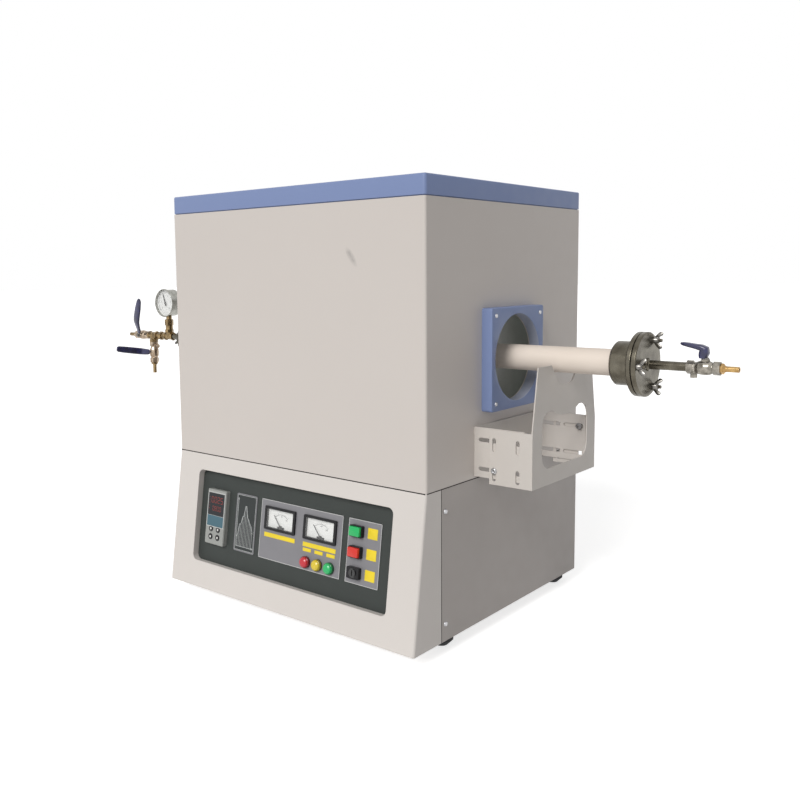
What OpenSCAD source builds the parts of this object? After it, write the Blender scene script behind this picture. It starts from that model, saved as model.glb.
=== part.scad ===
// Bench-top tube furnace with a ceramic work tube, sealed end flanges and gas fittings.
// Millimetres, +X right, +Y back, +Z up. Origin: bench level under the middle of the body.

/* [Body] */
// Width of the body, left to right
body_w = 550; // [540:5:640]
// Depth of the body, front to back
body_d = 470; // [460:5:560]
// Height of the lower cabinet
base_h = 234; // [230:2:280]
// Height of the upper case under its cover
case_h = 423; // [410:1:480]
// Height of the top cover
cover_h = 31; // [20:1:50]
// Height of the rubber feet
foot_h = 22; // [14:1:40]
// Radius of a rubber foot
foot_r = 19; // [14:1:24]
// Distance of the feet's centres from the ends of the body
foot_inset = 30; // [28:1:60]
// Thickness of the sheet steel
sheet_t = 1.5; // [1:0.1:2]
// Outer radius of the sheet steel's bends
bend_r = 4; // [3:0.5:6]

/* [Front] */
// How far the lower edge of the sloped front stands out
front_out = 32.6; // [10:0.2:50]
// Depth of the front shell's sides, from the upper case's front face
front_side_d = 38; // [30:1:60]
// Width of the window for the control panel
panel_w = 438; // [436:1:470]
// Height of the window for the control panel, along the slope
panel_h = 161; // [140:1:170]
// Distance of the window's upper edge from the seam
panel_top = 29; // [20:1:40]
// Corner radius of the window
panel_r = 10; // [4:1:20]
// How far the control panel lies behind the sloped face
panel_recess = 12; // [6:0.5:16]
// Thickness of the control panel
panel_t = 2; // [1.5:0.5:3]
// Distance of the instruments' middle line below the window's upper edge
row_drop = 79; // [74:1:84]

/* [Instruments] */
// Bezel width of the temperature controller
controller_w = 48; // [44:1:50]
// Bezel height of the temperature controller
controller_h = 96; // [90:1:100]
// How far the controller's bezel stands out of the panel
controller_out = 9; // [6:0.5:12]
// Depth of the controller behind the panel
controller_back = 70; // [40:1:90]
// Width of the program curve plate
curve_w = 50; // [40:1:52]
// Width of the meter plate
meter_plate_w = 181; // [178:1:184]
// Width of the push button plate
button_plate_w = 65; // [62:1:66]
// Height of the three plates
plate_h = 99; // [98:1:106]
// Thickness of the plates
plate_t = 1; // [0.6:0.1:1.5]
// Width of a panel meter
meter_w = 70; // [64:1:72]
// Height of a panel meter
meter_h = 39; // [37:1:41]
// Distance between the middles of the two meters
meter_pitch = 89; // [84:1:92]
// How far the meters stand out of their plate
meter_out = 3; // [2:0.5:6]
// Radius of an indicator lamp's bezel
lamp_r = 9.5; // [8:0.5:10]
// Distance between the lamps
lamp_pitch = 25.5; // [23:0.5:27]
// Width of a push button's housing
button_w = 24; // [22:0.5:26]
// Height of a push button's housing
button_h = 18; // [16:0.5:20]
// How far a push button's housing stands out of its plate
button_out = 7; // [5:0.5:9]
// Distance between the push buttons
button_pitch = 32; // [28:0.5:34]
// Travel of a push button
button_travel = 3; // [2:0.5:3.5]
// Radius of a controller key
key_r = 3.6; // [2.5:0.1:4]
// Travel of a controller key
key_travel = 0.8; // [0.4:0.1:1]

/* [Hot zone] */
// Distance of the tube's axis behind the upper case's front face
tube_y_front = 227; // [215:1:260]
// Height of the tube's axis above the seam
tube_up = 181; // [175:1:220]
// Outer radius of the work tube
tube_r = 20; // [18:0.5:22]
// Wall of the work tube
tube_wall = 4; // [3:0.5:6]
// Length of the work tube
tube_l = 984; // [980:2:1040]
// Gap between the liner and the outer case
liner_gap = 42; // [38:1:60]
// Width and height of the heated chamber
chamber_w = 120; // [110:2:150]
// Length of the heated chamber
chamber_l = 300; // [280:5:340]
// Radius of a heating element's hot leg
element_r = 3; // [2:0.5:4]
// Distance between the two legs of a heating element
element_pitch = 50; // [40:1:60]

/* [Ports] */
// Width and height of the port collars
collar_w = 160; // [150:1:170]
// Thickness of the port collars
collar_t = 18; // [12:1:24]
// Radius of the port openings
port_r = 69; // [50:1:72]

/* [Tube supports] */
// Width of a saddle across its arms
saddle_w = 206; // [200:1:220]
// Distance of the saddle's plate from the body
saddle_reach = 101; // [96:1:106]
// Lower edge of the saddle, above the seam
saddle_low = -4; // [-8:1:4]
// Height of the saddle's arms
saddle_arm_h = 84; // [80:1:88]
// Length of the saddle's arms
saddle_arm_l = 73; // [70:1:80]
// Height of the notch's floor below the tube's axis
notch_drop = 37; // [36:1:44]
// Thickness of the bracket plate
bracket_t = 2; // [1.5:0.5:3]
// Radius of the bracket bolts
bolt_r = 2.8; // [2:0.1:3.2]
// Gap between a bolt and its slot on each side
slot_gap = 0.4; // [0.3:0.1:1]
// Length of a horizontal slot
reach_slot_l = 35; // [30:1:36]
// Length of a vertical slot
height_slot_l = 21; // [20:1:26]

/* [End flanges] */
// Distance of the end plates' outer faces from the body's middle
flange_x = 504; // [502:1:540]
// Radius of the clamp flange and the end plate
flange_r = 47; // [44:1:55]
// Thickness of the clamp flange and of the end plate
flange_t = 7; // [5:0.5:10]
// Radius of the flange's sleeve
sleeve_r = 32.5; // [29:0.5:34]
// Length of the flange's sleeve
sleeve_l = 32; // [28:1:40]
// Radius of the circle of studs
stud_circle_r = 39; // [38.5:0.5:41]
// Radius of the studs
stud_r = 2.5; // [2:0.1:3]
// Radial gap between a stud and a wing nut
nut_gap = 0.3; // [0.3:0.1:0.5]
// Thickness of the face seal between the two discs
face_seal_t = 1; // [0.5:0.1:2]

/* [Gas fittings] */
// Outer radius of the gas pipes
pipe_r = 6.5; // [5:0.5:7]
// Bore radius of the gas pipes
pipe_bore_r = 4; // [3:0.5:4.5]
// Length of the right gas pipe
pipe_l = 56; // [50:1:80]
// Length of a ball valve
valve_l = 46; // [44:1:56]
// Radius across the corners of a valve's hexagon ends
hex_r = 9.5; // [9:0.5:11]
// Length of a hose barb
barb_l = 24; // [20:1:34]
// Radius of a hose barb's tail
barb_r = 4; // [3.4:0.1:4.4]
// Length of a valve lever, from its pivot
lever_l = 44; // [38:1:60]
// Length of the left train's valve levers, from their pivots
long_lever_l = 74; // [60:1:80]
// Radius of the pressure gauge
gauge_r = 31; // [25:1:34]
// Depth of the pressure gauge's case
gauge_d = 27; // [22:1:32]
// Height of the gauge's middle above the tube's axis
gauge_up = 74; // [70:1:84]
// Distance of the gauge from the left end plate
gauge_x = 84; // [80:1:100]
// Distance from the gauge's branch to the drain branch
branch_pitch = 57; // [54:1:70]

/* [Hidden] */
$fn = 64;

// Overlap used where one cut runs past a face
cut = 1;
// Gap around a part that passes through a hole of its own shape
pass_gap = 0.5;
// Radial gap between the work tube and what it passes through
tube_gap = 0.1;
// Radial running gap of stems and hubs
run_gap = 0.06;

// Levels and faces
seam_z = foot_h + base_h;
case_top_z = seam_z + case_h;
front_y = -body_d / 2;
back_y = body_d / 2;
side_x = body_w / 2;
tube_y = front_y + tube_y_front;
tube_z = seam_z + tube_up;
slope_angle = atan(front_out / base_h);
slope_l = sqrt(front_out * front_out + base_h * base_h);

// Layout of the control panel: s runs down the slope from the seam
row_s = panel_top + row_drop;
edge_margin = 24;
plate_space = 12;
controller_x = -panel_w / 2 + edge_margin + controller_w / 2;
curve_x = controller_x + controller_w / 2 + 1.6 * plate_space + curve_w / 2;
meter_plate_x = curve_x + curve_w / 2 + plate_space + meter_plate_w / 2;
button_plate_x = meter_plate_x + meter_plate_w / 2 + plate_space + button_plate_w / 2;
meter_s = row_s - plate_h / 2 + 29.5;
meter_xs = [meter_plate_x - meter_pitch / 2, meter_plate_x + meter_pitch / 2];
lamp_s = row_s + plate_h / 2 - 13;
lamp_xs = [for (i = [-1:1]) meter_xs[1] + i * lamp_pitch];
button_x = button_plate_x - 13;
button_ss = [for (i = [-1:1]) row_s + i * button_pitch];
plate_face = -panel_recess + plate_t;

// Tube supports
arm_gap = 0.3;
bracket_w = saddle_w - 2 * bracket_t - 2 * arm_gap;
saddle_z = seam_z + saddle_low;
bracket_z = saddle_z + 8;
bracket_h = saddle_arm_h - 7;
slot_r = bolt_r + slot_gap;
bolt_xs = [saddle_reach - saddle_arm_l + 8.5, saddle_reach - 24.5];
bolt_zs = [saddle_z + 21, saddle_z + saddle_arm_h - 18];
bracket_l = bolt_xs[1] + 10;

// End flanges and studs
stud_angles = [60, 180, 300];
plate_in_x = flange_x - flange_t;
flange_in_x = plate_in_x - face_seal_t - flange_t;
nut_h = 8;

// Left gas train
pipe_left_l = gauge_x - 15;
tee_half = 15;
branch_x = gauge_x + branch_pitch;
valve_left_x = branch_x + tee_half;

// Coordinates on the sloped front: x, up the slope, outwards
module on_slope() {
    translate([0, front_y, seam_z])
        rotate([90 - slope_angle, 0, 0])
            children();
}

// Along the work tube's axis on the right; +Z of the children becomes +X
module on_axis(x = 0) {
    translate([x, tube_y, tube_z])
        rotate([0, 90, 0])
            children();
}

// A right-hand piece, or its mirror image on the left
module on_side(side) {
    if (side > 0) children();
    else mirror([1, 0, 0]) children();
}

module both_sides() {
    for (side = [1, -1]) on_side(side) children();
}

module rounded_square(w, h, r) {
    square([w - 2 * r, h], center = true);
    square([w, h - 2 * r], center = true);
    for (x = [-1, 1]) {
        for (y = [-1, 1]) {
            translate([x * (w / 2 - r), y * (h / 2 - r)]) circle(r);
        }
    }
}

module rounded_plate(w, h, r, t) {
    linear_extrude(t) rounded_square(w, h, r);
}

// A slot along X, l from end to end
module slot(l, r) {
    square([l - 2 * r, 2 * r], center = true);
    for (x = [-1, 1]) translate([x * (l / 2 - r), 0]) circle(r);
}

module ring(r_out, r_in, h) {
    linear_extrude(h) difference() {
        circle(r_out);
        circle(r_in);
    }
}

module hexagon(r, h) {
    cylinder(r = r, h = h, $fn = 6);
}

// ---------------------------------------------------------------- body

module base_cabinet() {
    y0 = front_y + front_side_d;
    d = back_y - y0;
    color("#cfc8bf") difference() {
        translate([0, (y0 + back_y) / 2, foot_h])
            linear_extrude(base_h) square([body_w, d], center = true);
        translate([-side_x + sheet_t, y0 - cut, foot_h + sheet_t])
            cube([body_w - 2 * sheet_t, d - sheet_t + cut, base_h - 2 * sheet_t]);
        // cable way up to the heating elements
        translate([0, back_y - 60, seam_z - sheet_t - cut]) cylinder(r = 30, h = sheet_t + 2 * cut);
        foot_places() translate([0, 0, foot_h - cut])
            cylinder(r = foot_bolt_r + slot_gap, h = sheet_t + 2 * cut);
        fan_outlet();
        rear_louvres(seam_z - 60);
        translate([gland_x, back_y, gland_z]) rotate([90, 0, 0])
            cylinder(r = gland_r + pass_gap, h = 3 * sheet_t, center = true);
        for (x = [-1, 1]) translate([x * side_screw_x, 0, 0]) side_screw_holes();
    }
}

fan_w = 120;
fan_d = 38;
fan_x = 60;
fan_z = foot_h + 90;
gland_x = -side_x + 85;
gland_z = foot_h + 50;
gland_r = 10;
side_screw_x = side_x;
screw_r = 2;
side_screw_zs = [foot_h + 27, seam_z - 35];
side_screw_y = front_y + front_side_d + 10;

module side_screw_holes() {
    for (z = side_screw_zs)
        translate([0, side_screw_y, z]) rotate([0, 90, 0])
            cylinder(r = screw_r + slot_gap, h = 4 * sheet_t, center = true);
}

// Rings of slots over the fan, with three bars left between them
module fan_outlet() {
    slot_w = 9;
    bar_w = 8;
    translate([fan_x, back_y + cut, fan_z]) rotate([90, 0, 0])
        linear_extrude(sheet_t + 2 * cut) for (r = [16, 30, 44]) difference() {
            circle(r + slot_w / 2);
            circle(r - slot_w / 2);
            for (a = [0, 60, 120]) rotate(a) square([fan_w, bar_w], center = true);
        }
}

module rear_louvres(z) {
    for (x = [-160:40:-40]) {
        for (i = [0:3]) {
            translate([x - 20, back_y + cut, z - 15 * i]) rotate([90, 0, 0])
                linear_extrude(sheet_t + 2 * cut) slot(32, 2.5);
        }
    }
}

// Side profile of the sloped front, inset by e
module front_profile(e) {
    polygon([
        [front_side_d, foot_h + e],
        [front_side_d, seam_z - e],
        [e, seam_z - e],
        [e - front_out, foot_h + e]
    ]);
}

module front_prism(e, w) {
    translate([-w / 2, front_y, 0]) rotate([90, 0, 90]) linear_extrude(w) front_profile(e);
}

module control_fascia() {
    color("#d3ccc3") difference() {
        front_prism(0, body_w);
        difference() {
            front_prism(sheet_t, body_w - 2 * sheet_t);
            on_slope() panel_rim(2 * sheet_t);
        }
        // open at the back
        translate([-side_x + sheet_t, front_y + front_side_d - cut, foot_h + sheet_t])
            cube([body_w - 2 * sheet_t, 2 * cut, base_h - 2 * sheet_t]);
        on_slope() translate([0, -panel_top - panel_h / 2, -panel_recess - cut])
            rounded_plate(panel_w, panel_h, panel_r, panel_recess + 2 * cut);
        for (x = [-1, 1]) on_slope() translate([x * side_x, 0, 0]) edge_cut();
    }
}

// Rounds the sloped front's upright edge
module edge_cut() {
    translate([0, -slope_l - cut - front_out, 0]) rotate([-90, 0, 0])
        linear_extrude(slope_l + front_out + 2 * cut + 2 * sheet_t) difference() {
            square(2 * bend_r, center = true);
            for (x = [-1, 1]) translate([x * bend_r, bend_r]) circle(bend_r);
        }
}

// The folded rim between the front shell and the control panel
module panel_rim(e) {
    translate([0, -panel_top - panel_h / 2, -panel_recess])
        rounded_plate(panel_w + 2 * sheet_t, panel_h + 2 * sheet_t, panel_r + sheet_t, panel_recess + e);
}

module upper_case() {
    flange_w = 16;
    inner_w = body_w - 2 * sheet_t;
    color("#cfc8bf") difference() {
        translate([0, 0, seam_z]) rounded_plate(body_w, body_d, bend_r, case_h);
        translate([0, 0, seam_z + sheet_t])
            rounded_plate(inner_w, body_d - 2 * sheet_t, bend_r - sheet_t, case_h - 2 * sheet_t);
        translate([0, 0, case_top_z - sheet_t - cut])
            rounded_plate(body_w - 2 * flange_w, body_d - 2 * flange_w, bend_r, sheet_t + 2 * cut);
        translate([0, back_y - 60, seam_z - cut]) cylinder(r = 30, h = sheet_t + 2 * cut);
        on_axis(-side_x - cut) cylinder(r = port_r, h = body_w + 2 * cut);
        both_sides() {
            collar_screw_places(side_x - 2 * sheet_t) screw_hole(3 * sheet_t);
            bracket_screw_places(side_x - 2 * sheet_t) screw_hole(3 * sheet_t);
        }
        for (row = [0:2]) {
            for (x = [-160:64:160]) {
                translate([x, back_y + cut, case_top_z - 50 - 16 * row]) rotate([90, 0, 0])
                    linear_extrude(sheet_t + 2 * cut) slot(48, 2.5);
            }
        }
    }
}

module top_cover() {
    lip = 0.6;
    color("#7f93cf") difference() {
        translate([0, 0, case_top_z]) cover_form();
        translate([0, 0, case_top_z - cut])
            rounded_plate(body_w - 2 * sheet_t, body_d - 2 * sheet_t, bend_r - lip, cover_h - sheet_t + cut);
    }
}

// Shallow tray with its upper edge eased in two steps
module cover_form() {
    ease = 1;
    rounded_plate(body_w, body_d, bend_r, cover_h - ease);
    rounded_plate(body_w - 2 * ease, body_d - 2 * ease, bend_r, cover_h);
}

// ---------------------------------------------------------------- fasteners and feet

collar_screw_in = 12;
bracket_screw_ys = [-60, 60];

module screw(head_r, head_h, l, r) {
    cylinder(r1 = head_r, r2 = head_r * 0.75, h = head_h);
    translate([0, 0, -l]) cylinder(r = r, h = l);
}

module screw_hole(l) {
    cylinder(r = screw_r + slot_gap, h = l);
}

module collar_screw_places(x) {
    e = collar_w / 2 - collar_screw_in;
    for (u = [-e, e]) {
        for (v = [-e, e]) on_axis(x) translate([u, v, 0]) children();
    }
}

module bracket_screw_places(x) {
    for (y = bracket_screw_ys)
        translate([x, tube_y + y, bracket_z + bracket_h / 2]) rotate([0, 90, 0]) children();
}

module case_screws() {
    color("#d8d8d6") both_sides() {
        for (z = side_screw_zs)
            translate([side_x, side_screw_y, z]) rotate([0, 90, 0]) screw(4, 2, 6, screw_r);
        collar_screw_places(side_x + collar_t) screw(3.5, 1.6, collar_t + 4, screw_r);
        bracket_screw_places(side_x + bracket_t) screw(5, 3, 8, screw_r);
    }
}

foot_bolt_r = 4;
front_foot_back = 50;

module foot_places() {
    for (x = [-1, 1]) {
        for (y = [front_y + foot_inset + front_foot_back, back_y - foot_inset])
            translate([x * (side_x - foot_inset), y, 0]) children();
    }
}

module feet() {
    bolt_top = 8;
    color("#26262a") foot_places() {
        rotate_extrude() foot_profile();
        cylinder(r = foot_bolt_r, h = foot_h + sheet_t + bolt_top);
    }
}

module foot_profile() {
    dome = foot_r * 0.45;
    ease = 2;
    polygon([
        [0, 0], [foot_r - dome, 0], [foot_r, dome], [foot_r, foot_h - ease],
        [foot_r - ease, foot_h], [0, foot_h]
    ]);
}

// ---------------------------------------------------------------- ports

module port_collars() {
    ease = 1.5;
    color("#7f93cf") both_sides() translate([side_x, tube_y, tube_z]) rotate([90, 0, 90]) difference() {
        union() {
            rounded_plate(collar_w, collar_w, 2 * ease, collar_t - ease);
            rounded_plate(collar_w - 2 * ease, collar_w - 2 * ease, ease, collar_t);
        }
        translate([0, 0, -cut]) cylinder(r = port_r, h = collar_t + 2 * cut, $fn = 96);
        for (x = [-1, 1]) {
            for (y = [-1, 1]) {
                translate([x, y, 0] * (collar_w / 2 - collar_screw_in) - [0, 0, cut])
                    screw_hole(collar_t + 2 * cut);
            }
        }
    }
}

// ---------------------------------------------------------------- control panel

// A hole through the control panel and its plate
module panel_hole(x, s, w, h, r) {
    translate([x, -s, -panel_recess - panel_t - cut]) rounded_plate(w, h, r, panel_t + plate_t + 2 * cut);
}

module panel_round_hole(x, s, r) {
    translate([x, -s, -panel_recess - panel_t - cut]) cylinder(r = r, h = panel_t + plate_t + 2 * cut);
}

module instrument_holes() {
    panel_hole(controller_x, row_s, controller_w - 3, controller_h - 4, 1);
    for (x = meter_xs) panel_hole(x, meter_s, meter_w - 6, meter_h - 6, 1);
    for (x = lamp_xs) panel_round_hole(x, lamp_s, barrel_r + pass_gap);
    for (s = button_ss) panel_round_hole(button_x, s, barrel_r + pass_gap);
}

barrel_r = 7;
barrel_l = 26;

module control_panel() {
    rim = 8;
    color("#3c3f3f") on_slope() difference() {
        translate([0, -panel_top - panel_h / 2, -panel_recess - panel_t])
            rounded_plate(panel_w + 2 * rim, panel_h + 2 * rim, panel_r, panel_t);
        instrument_holes();
    }
}

module panel_plate(x, w) {
    translate([x, -row_s, -panel_recess]) rounded_plate(w, plate_h, 3, plate_t);
}

module panel_plates() {
    color("#87868d") on_slope() difference() {
        union() {
            panel_plate(curve_x, curve_w);
            panel_plate(meter_plate_x, meter_plate_w);
            panel_plate(button_plate_x, button_plate_w);
        }
        instrument_holes();
    }
}

// Controller: the window takes the upper part, four keys the lower part
window_w = controller_w - 10;
window_h = controller_h * 0.58;
window_up = controller_h / 2 - 6 - window_h / 2;
window_t = 1.2;
key_xs = [-9, 9];
key_ups = [-controller_h / 2 + 27, -controller_h / 2 + 13];
key_h = 3;
controller_face = -panel_recess + controller_out;

module key_place(i, j) {
    on_slope() translate([controller_x + key_xs[i], -row_s + key_ups[j], controller_face]) children();
}

module controller_case() {
    color("#c9c7bf") on_slope() difference() {
        union() {
            translate([controller_x, -row_s, -panel_recess]) {
                rounded_plate(controller_w, controller_h, 2.5, controller_out - 1);
                rounded_plate(controller_w - 2, controller_h - 2, 2, controller_out);
            }
            translate([controller_x, -row_s, -panel_recess - controller_back])
                rounded_plate(controller_w - 4, controller_h - 5, 1, controller_back);
        }
        translate([controller_x, -row_s + window_up, controller_face - window_t])
            rounded_plate(window_w, window_h, 2, window_t + cut);
        for (x = key_xs) {
            for (y = key_ups) {
                translate([controller_x + x, -row_s + y, controller_face - key_h])
                    cylinder(r = key_r + 0.4, h = key_h + cut);
            }
        }
    }
}

module controller_key(i, j) {
    color("#e8e6e0") key_place(i, j) {
        translate([0, 0, -key_h + key_travel + 0.2]) cylinder(r = key_r, h = key_h - 0.2);
    }
}

// Dials lie a little behind the bezel's face
meter_depth = 5;
meter_back = 36;
meter_band = 4;
dial_w = meter_w - 10;
dial_h = meter_h - 2 * meter_band;
meter_face = plate_face + meter_out;
needle_l = dial_h * 0.78;
needle_drop = dial_h / 2 - 3;

module meter_cases() {
    color("#25262b") on_slope() for (x = meter_xs) translate([x, -meter_s, 0]) difference() {
        union() {
            translate([0, 0, plate_face]) rounded_plate(meter_w, meter_h, 2, meter_out);
            translate([0, 0, plate_face - meter_back])
                rounded_plate(meter_w - 7, meter_h - 7, 1, meter_back);
        }
        translate([0, 0, meter_face - meter_depth]) difference() {
            rounded_plate(dial_w, dial_h, 1, meter_depth + cut);
            translate([0, -needle_drop, -cut]) cylinder(r = 1, h = 3 + cut);
        }
    }
}

module display_windows() {
    color([0.2, 0.22, 0.24]) on_slope() {
        translate([controller_x, -row_s + window_up, controller_face - window_t])
            rounded_plate(window_w - 0.2, window_h - 0.2, 2, window_t);
        for (x = meter_xs) translate([x, -meter_s, meter_face - 1])
            rounded_plate(dial_w - 0.2, dial_h - 0.2, 1, 1);
    }
}

// Pointer of a panel meter, at the left end of its scale
module meter_needle(x) {
    rest_angle = 42;
    hub_r = 2;
    color("#1d1d1f") on_slope()
        translate([x, -meter_s - needle_drop, meter_face - meter_depth + 1.2])
            rotate(rest_angle) linear_extrude(1) difference() {
                union() {
                    circle(hub_r);
                    polygon([[-0.6, 0], [0.6, 0], [0.2, needle_l], [-0.2, needle_l]]);
                }
                circle(1 + slot_gap);
            }
}

module lamp_bezel() {
    difference() {
        union() {
            cylinder(r = lamp_r, h = 1.6);
            translate([0, 0, -barrel_l]) cylinder(r = barrel_r, h = barrel_l);
        }
        translate([0, 0, -2]) cylinder(r = lamp_r - 3, h = 4);
    }
}

module button_housing() {
    difference() {
        union() {
            rounded_plate(button_w, button_h, 2, button_out);
            translate([0, 0, -barrel_l]) cylinder(r = barrel_r, h = barrel_l);
        }
        translate([0, 0, button_out - button_travel - 2])
            rounded_plate(button_w - 2.4, button_h - 2.4, 1.2, button_travel + 2 + cut);
    }
}

lock_r = 7.5;
lock_h = 5;

module lock_housing() {
    difference() {
        union() {
            rounded_plate(button_w, button_h, 2, button_out);
            translate([0, 0, -barrel_l]) cylinder(r = barrel_r, h = barrel_l);
        }
        translate([0, 0, button_out - lock_h]) cylinder(r = lock_r + run_gap, h = lock_h + cut);
    }
}

module switch_housings() {
    color("#1f1f22") on_slope() {
        for (x = lamp_xs) translate([x, -lamp_s, plate_face]) lamp_bezel();
        for (i = [0, 1]) translate([button_x, -button_ss[i], plate_face]) button_housing();
        translate([button_x, -button_ss[2], plate_face]) lock_housing();
    }
}

// Lens of a lamp: a short drum with a shallow cone
module lamp(i, tint) {
    r = lamp_r - 1.5;
    color(tint) on_slope() translate([lamp_xs[i], -lamp_s, plate_face + 1.6])
        rotate_extrude() polygon([[0, 0], [r, 0], [r, 3.4], [r - 1, 4.6], [r - 2.6, 5.4], [0, 6]]);
}

module push_cap(i, tint) {
    side_gap = 0.35;
    w = button_w - 2.4 - 2 * side_gap;
    h = button_h - 2.4 - 2 * side_gap;
    base = plate_face + button_out - 1.8;
    color(tint) on_slope() translate([button_x, -button_ss[i], base]) {
        rounded_plate(w, h, 1, 3.3);
        rounded_plate(w - 1.2, h - 1.2, 1, 4);
    }
}

module lock_barrel() {
    base = plate_face + button_out - lock_h;
    color("#2c2c30") on_slope() translate([button_x, -button_ss[2], base]) difference() {
        union() {
            cylinder(r = lock_r, h = lock_h);
            cylinder(r = lock_r - 1, h = lock_h + 1.5);
        }
        translate([0, 0, lock_h]) cube([1.6, 9, 4], center = true);
    }
}

// ---------------------------------------------------------------- hot zone

liner_w = body_w - 2 * liner_gap;
liner_d = body_d - 2 * liner_gap;
liner_h = 2 * tube_up;
insulation_top = tube_z + (liner_h / 2 - 12);

module liner() {
    color("#57524c") difference() {
        translate([-liner_w / 2, -liner_d / 2, seam_z + sheet_t])
            cube([liner_w, liner_d, liner_h - sheet_t]);
        translate([-liner_w / 2 + sheet_t, -liner_d / 2 + sheet_t, seam_z + 2 * sheet_t])
            cube([liner_w - 2 * sheet_t, liner_d - 2 * sheet_t, liner_h]);
        on_axis(-side_x) cylinder(r = tube_r + 4, h = body_w);
    }
}

module insulation_block(z0, z1) {
    d = liner_d - 2 * sheet_t;
    w = liner_w - 2 * sheet_t;
    difference() {
        translate([-w / 2, -d / 2, z0]) cube([w, d, z1 - z0]);
        on_axis(-side_x) cylinder(r = tube_r + 2, h = body_w);
        translate([-chamber_l / 2, tube_y - chamber_w / 2, tube_z - chamber_w / 2])
            cube([chamber_l, chamber_w, chamber_w]);
        element_places() translate([0, 0, -chamber_w]) cylinder(r = cold_r + 1, h = case_h);
        translate([0, tube_y, tube_z]) cylinder(r = probe_r + 1, h = case_h);
    }
}

cold_r = 6;
probe_r = 4;
element_xs = [-chamber_l / 4, chamber_l / 4];

module element_places() {
    for (x = element_xs) {
        for (y = [-1, 1]) {
            for (leg = [-1, 1]) {
                translate([x + leg * element_pitch / 2, tube_y + y * (chamber_w / 2 - 2.2 * cold_r), tube_z])
                    children();
            }
        }
    }
}

module insulation_lower() {
    color("#efece4") insulation_block(seam_z + 2 * sheet_t, tube_z);
}

module insulation_upper() {
    color("#f3f0e8") insulation_block(tube_z, insulation_top);
}

// Hairpin elements hang from thicker cold ends above the roof of the chamber
module heating_elements() {
    roof = chamber_w / 2;
    low = roof - element_pitch / 2 - 8;
    color("#8a8a8e") {
        element_places() {
            translate([0, 0, -low]) cylinder(r = element_r, h = low + roof);
            translate([0, 0, roof]) cylinder(r = cold_r, h = insulation_top - tube_z - roof + 14);
        }
        for (x = element_xs) {
            for (y = [-1, 1]) {
                translate([x, tube_y + y * (chamber_w / 2 - 2.2 * cold_r), tube_z - low])
                    rotate([-90, 0, 0]) rotate_extrude(angle = 180)
                        translate([element_pitch / 2, 0]) circle(element_r);
            }
        }
    }
}

module thermocouple() {
    clear = 8;
    head_h = 16;
    outlet_l = 26;
    color("#d8c9a4") translate([0, tube_y, tube_z + tube_r + clear])
        cylinder(r = probe_r, h = insulation_top - tube_z - tube_r - clear);
    color("#9a9a9a") translate([0, tube_y, insulation_top]) {
        cylinder(r = 16, h = head_h);
        translate([0, 0, head_h - 6]) rotate([90, 0, 0]) cylinder(r = 5, h = outlet_l);
    }
}

// ---------------------------------------------------------------- power section

module transformer() {
    w = 150;
    d = 90;
    h = 126;
    limb = w / 6;
    x0 = side_x - 120;
    y0 = back_y - 130;
    z0 = foot_h + sheet_t;
    color("#6a5a4a") translate([x0, y0, z0]) {
        difference() {
            translate([-w / 2, -d / 2, 0]) cube([w, d, h]);
            for (x = [-1, 1]) {
                translate([x * 1.5 * limb - limb / 2, -d, limb]) cube([limb, 2 * d, h - 2 * limb]);
            }
        }
        translate([0, 0, limb]) linear_extrude(h - 2 * limb) difference() {
            rounded_square(4 * limb - 2, d + 2 * limb, limb / 2);
            square([2 * limb, d], center = true);
        }
    }
}

// Finned heat sink with the thyristor module on top
module power_controller() {
    w = 110;
    d = 140;
    base_t = 8;
    fin_h = 32;
    fins = 11;
    pitch = (w - 3) / (fins - 1);
    color("#b9bcc0") translate([-side_x + 100, -20, foot_h + sheet_t]) {
        for (i = [0:fins - 1]) translate([-w / 2 + i * pitch, -d / 2, 0]) cube([3, d, fin_h + 1]);
        translate([-w / 2, -d / 2, fin_h]) cube([w, d, base_t]);
        translate([-24, -45, fin_h + base_t]) cube([48, 90, 30]);
    }
}

fan_hole_r = 57;
hub_r = 20;

module fan_place() {
    translate([fan_x, back_y - sheet_t, fan_z]) rotate([90, 0, 0]) children();
}

// Frame of the fan: w wide, with the air's round way through it
module fan_frame() {
    difference() {
        rounded_square(fan_w, fan_w, 5);
        circle(fan_hole_r);
    }
}

module fan_housing() {
    arm_t = 4;
    arm_w = 6;
    color("#2b2b2d") fan_place() {
        linear_extrude(fan_d - arm_t) fan_frame();
        // three arms carry the motor on the inner side
        translate([0, 0, fan_d - arm_t]) linear_extrude(arm_t) {
            fan_frame();
            circle(hub_r);
            for (a = [30, 150, 270]) rotate(a) translate([0, -arm_w / 2]) square([fan_hole_r + 1, arm_w]);
        }
        translate([0, 0, 10]) cylinder(r = 3, h = fan_d - 12);
    }
}

module fan_rotor() {
    blades = 7;
    color("#3a3a3d") fan_place() translate([0, 0, 5]) difference() {
        union() {
            cylinder(r = hub_r, h = fan_d - 14);
            intersection() {
                cylinder(r = fan_hole_r - 3, h = fan_d - 14);
                for (i = [0:blades - 1]) rotate(i * 360 / blades) translate([fan_hole_r / 2, 0, 11])
                    rotate([38, 0, 0]) cube([fan_hole_r, 34, 2], center = true);
            }
        }
        translate([0, 0, 4]) cylinder(r = 3 + run_gap, h = fan_d);
    }
}

module cable_gland() {
    nut_w = 13;
    bore = 6.5;
    color("#3a3b3e") translate([gland_x, back_y, gland_z]) rotate([-90, 0, 0]) difference() {
        union() {
            hexagon(nut_w, 6);
            translate([0, 0, 6]) cylinder(r1 = 11.5, r2 = 9, h = 16);
            translate([0, 0, -10]) cylinder(r = gland_r, h = 10);
            translate([0, 0, -sheet_t - 5]) hexagon(nut_w, 5);
        }
        translate([0, 0, -10 - cut]) cylinder(r = bore, h = 40);
    }
}

// ---------------------------------------------------------------- tube and supports

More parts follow.
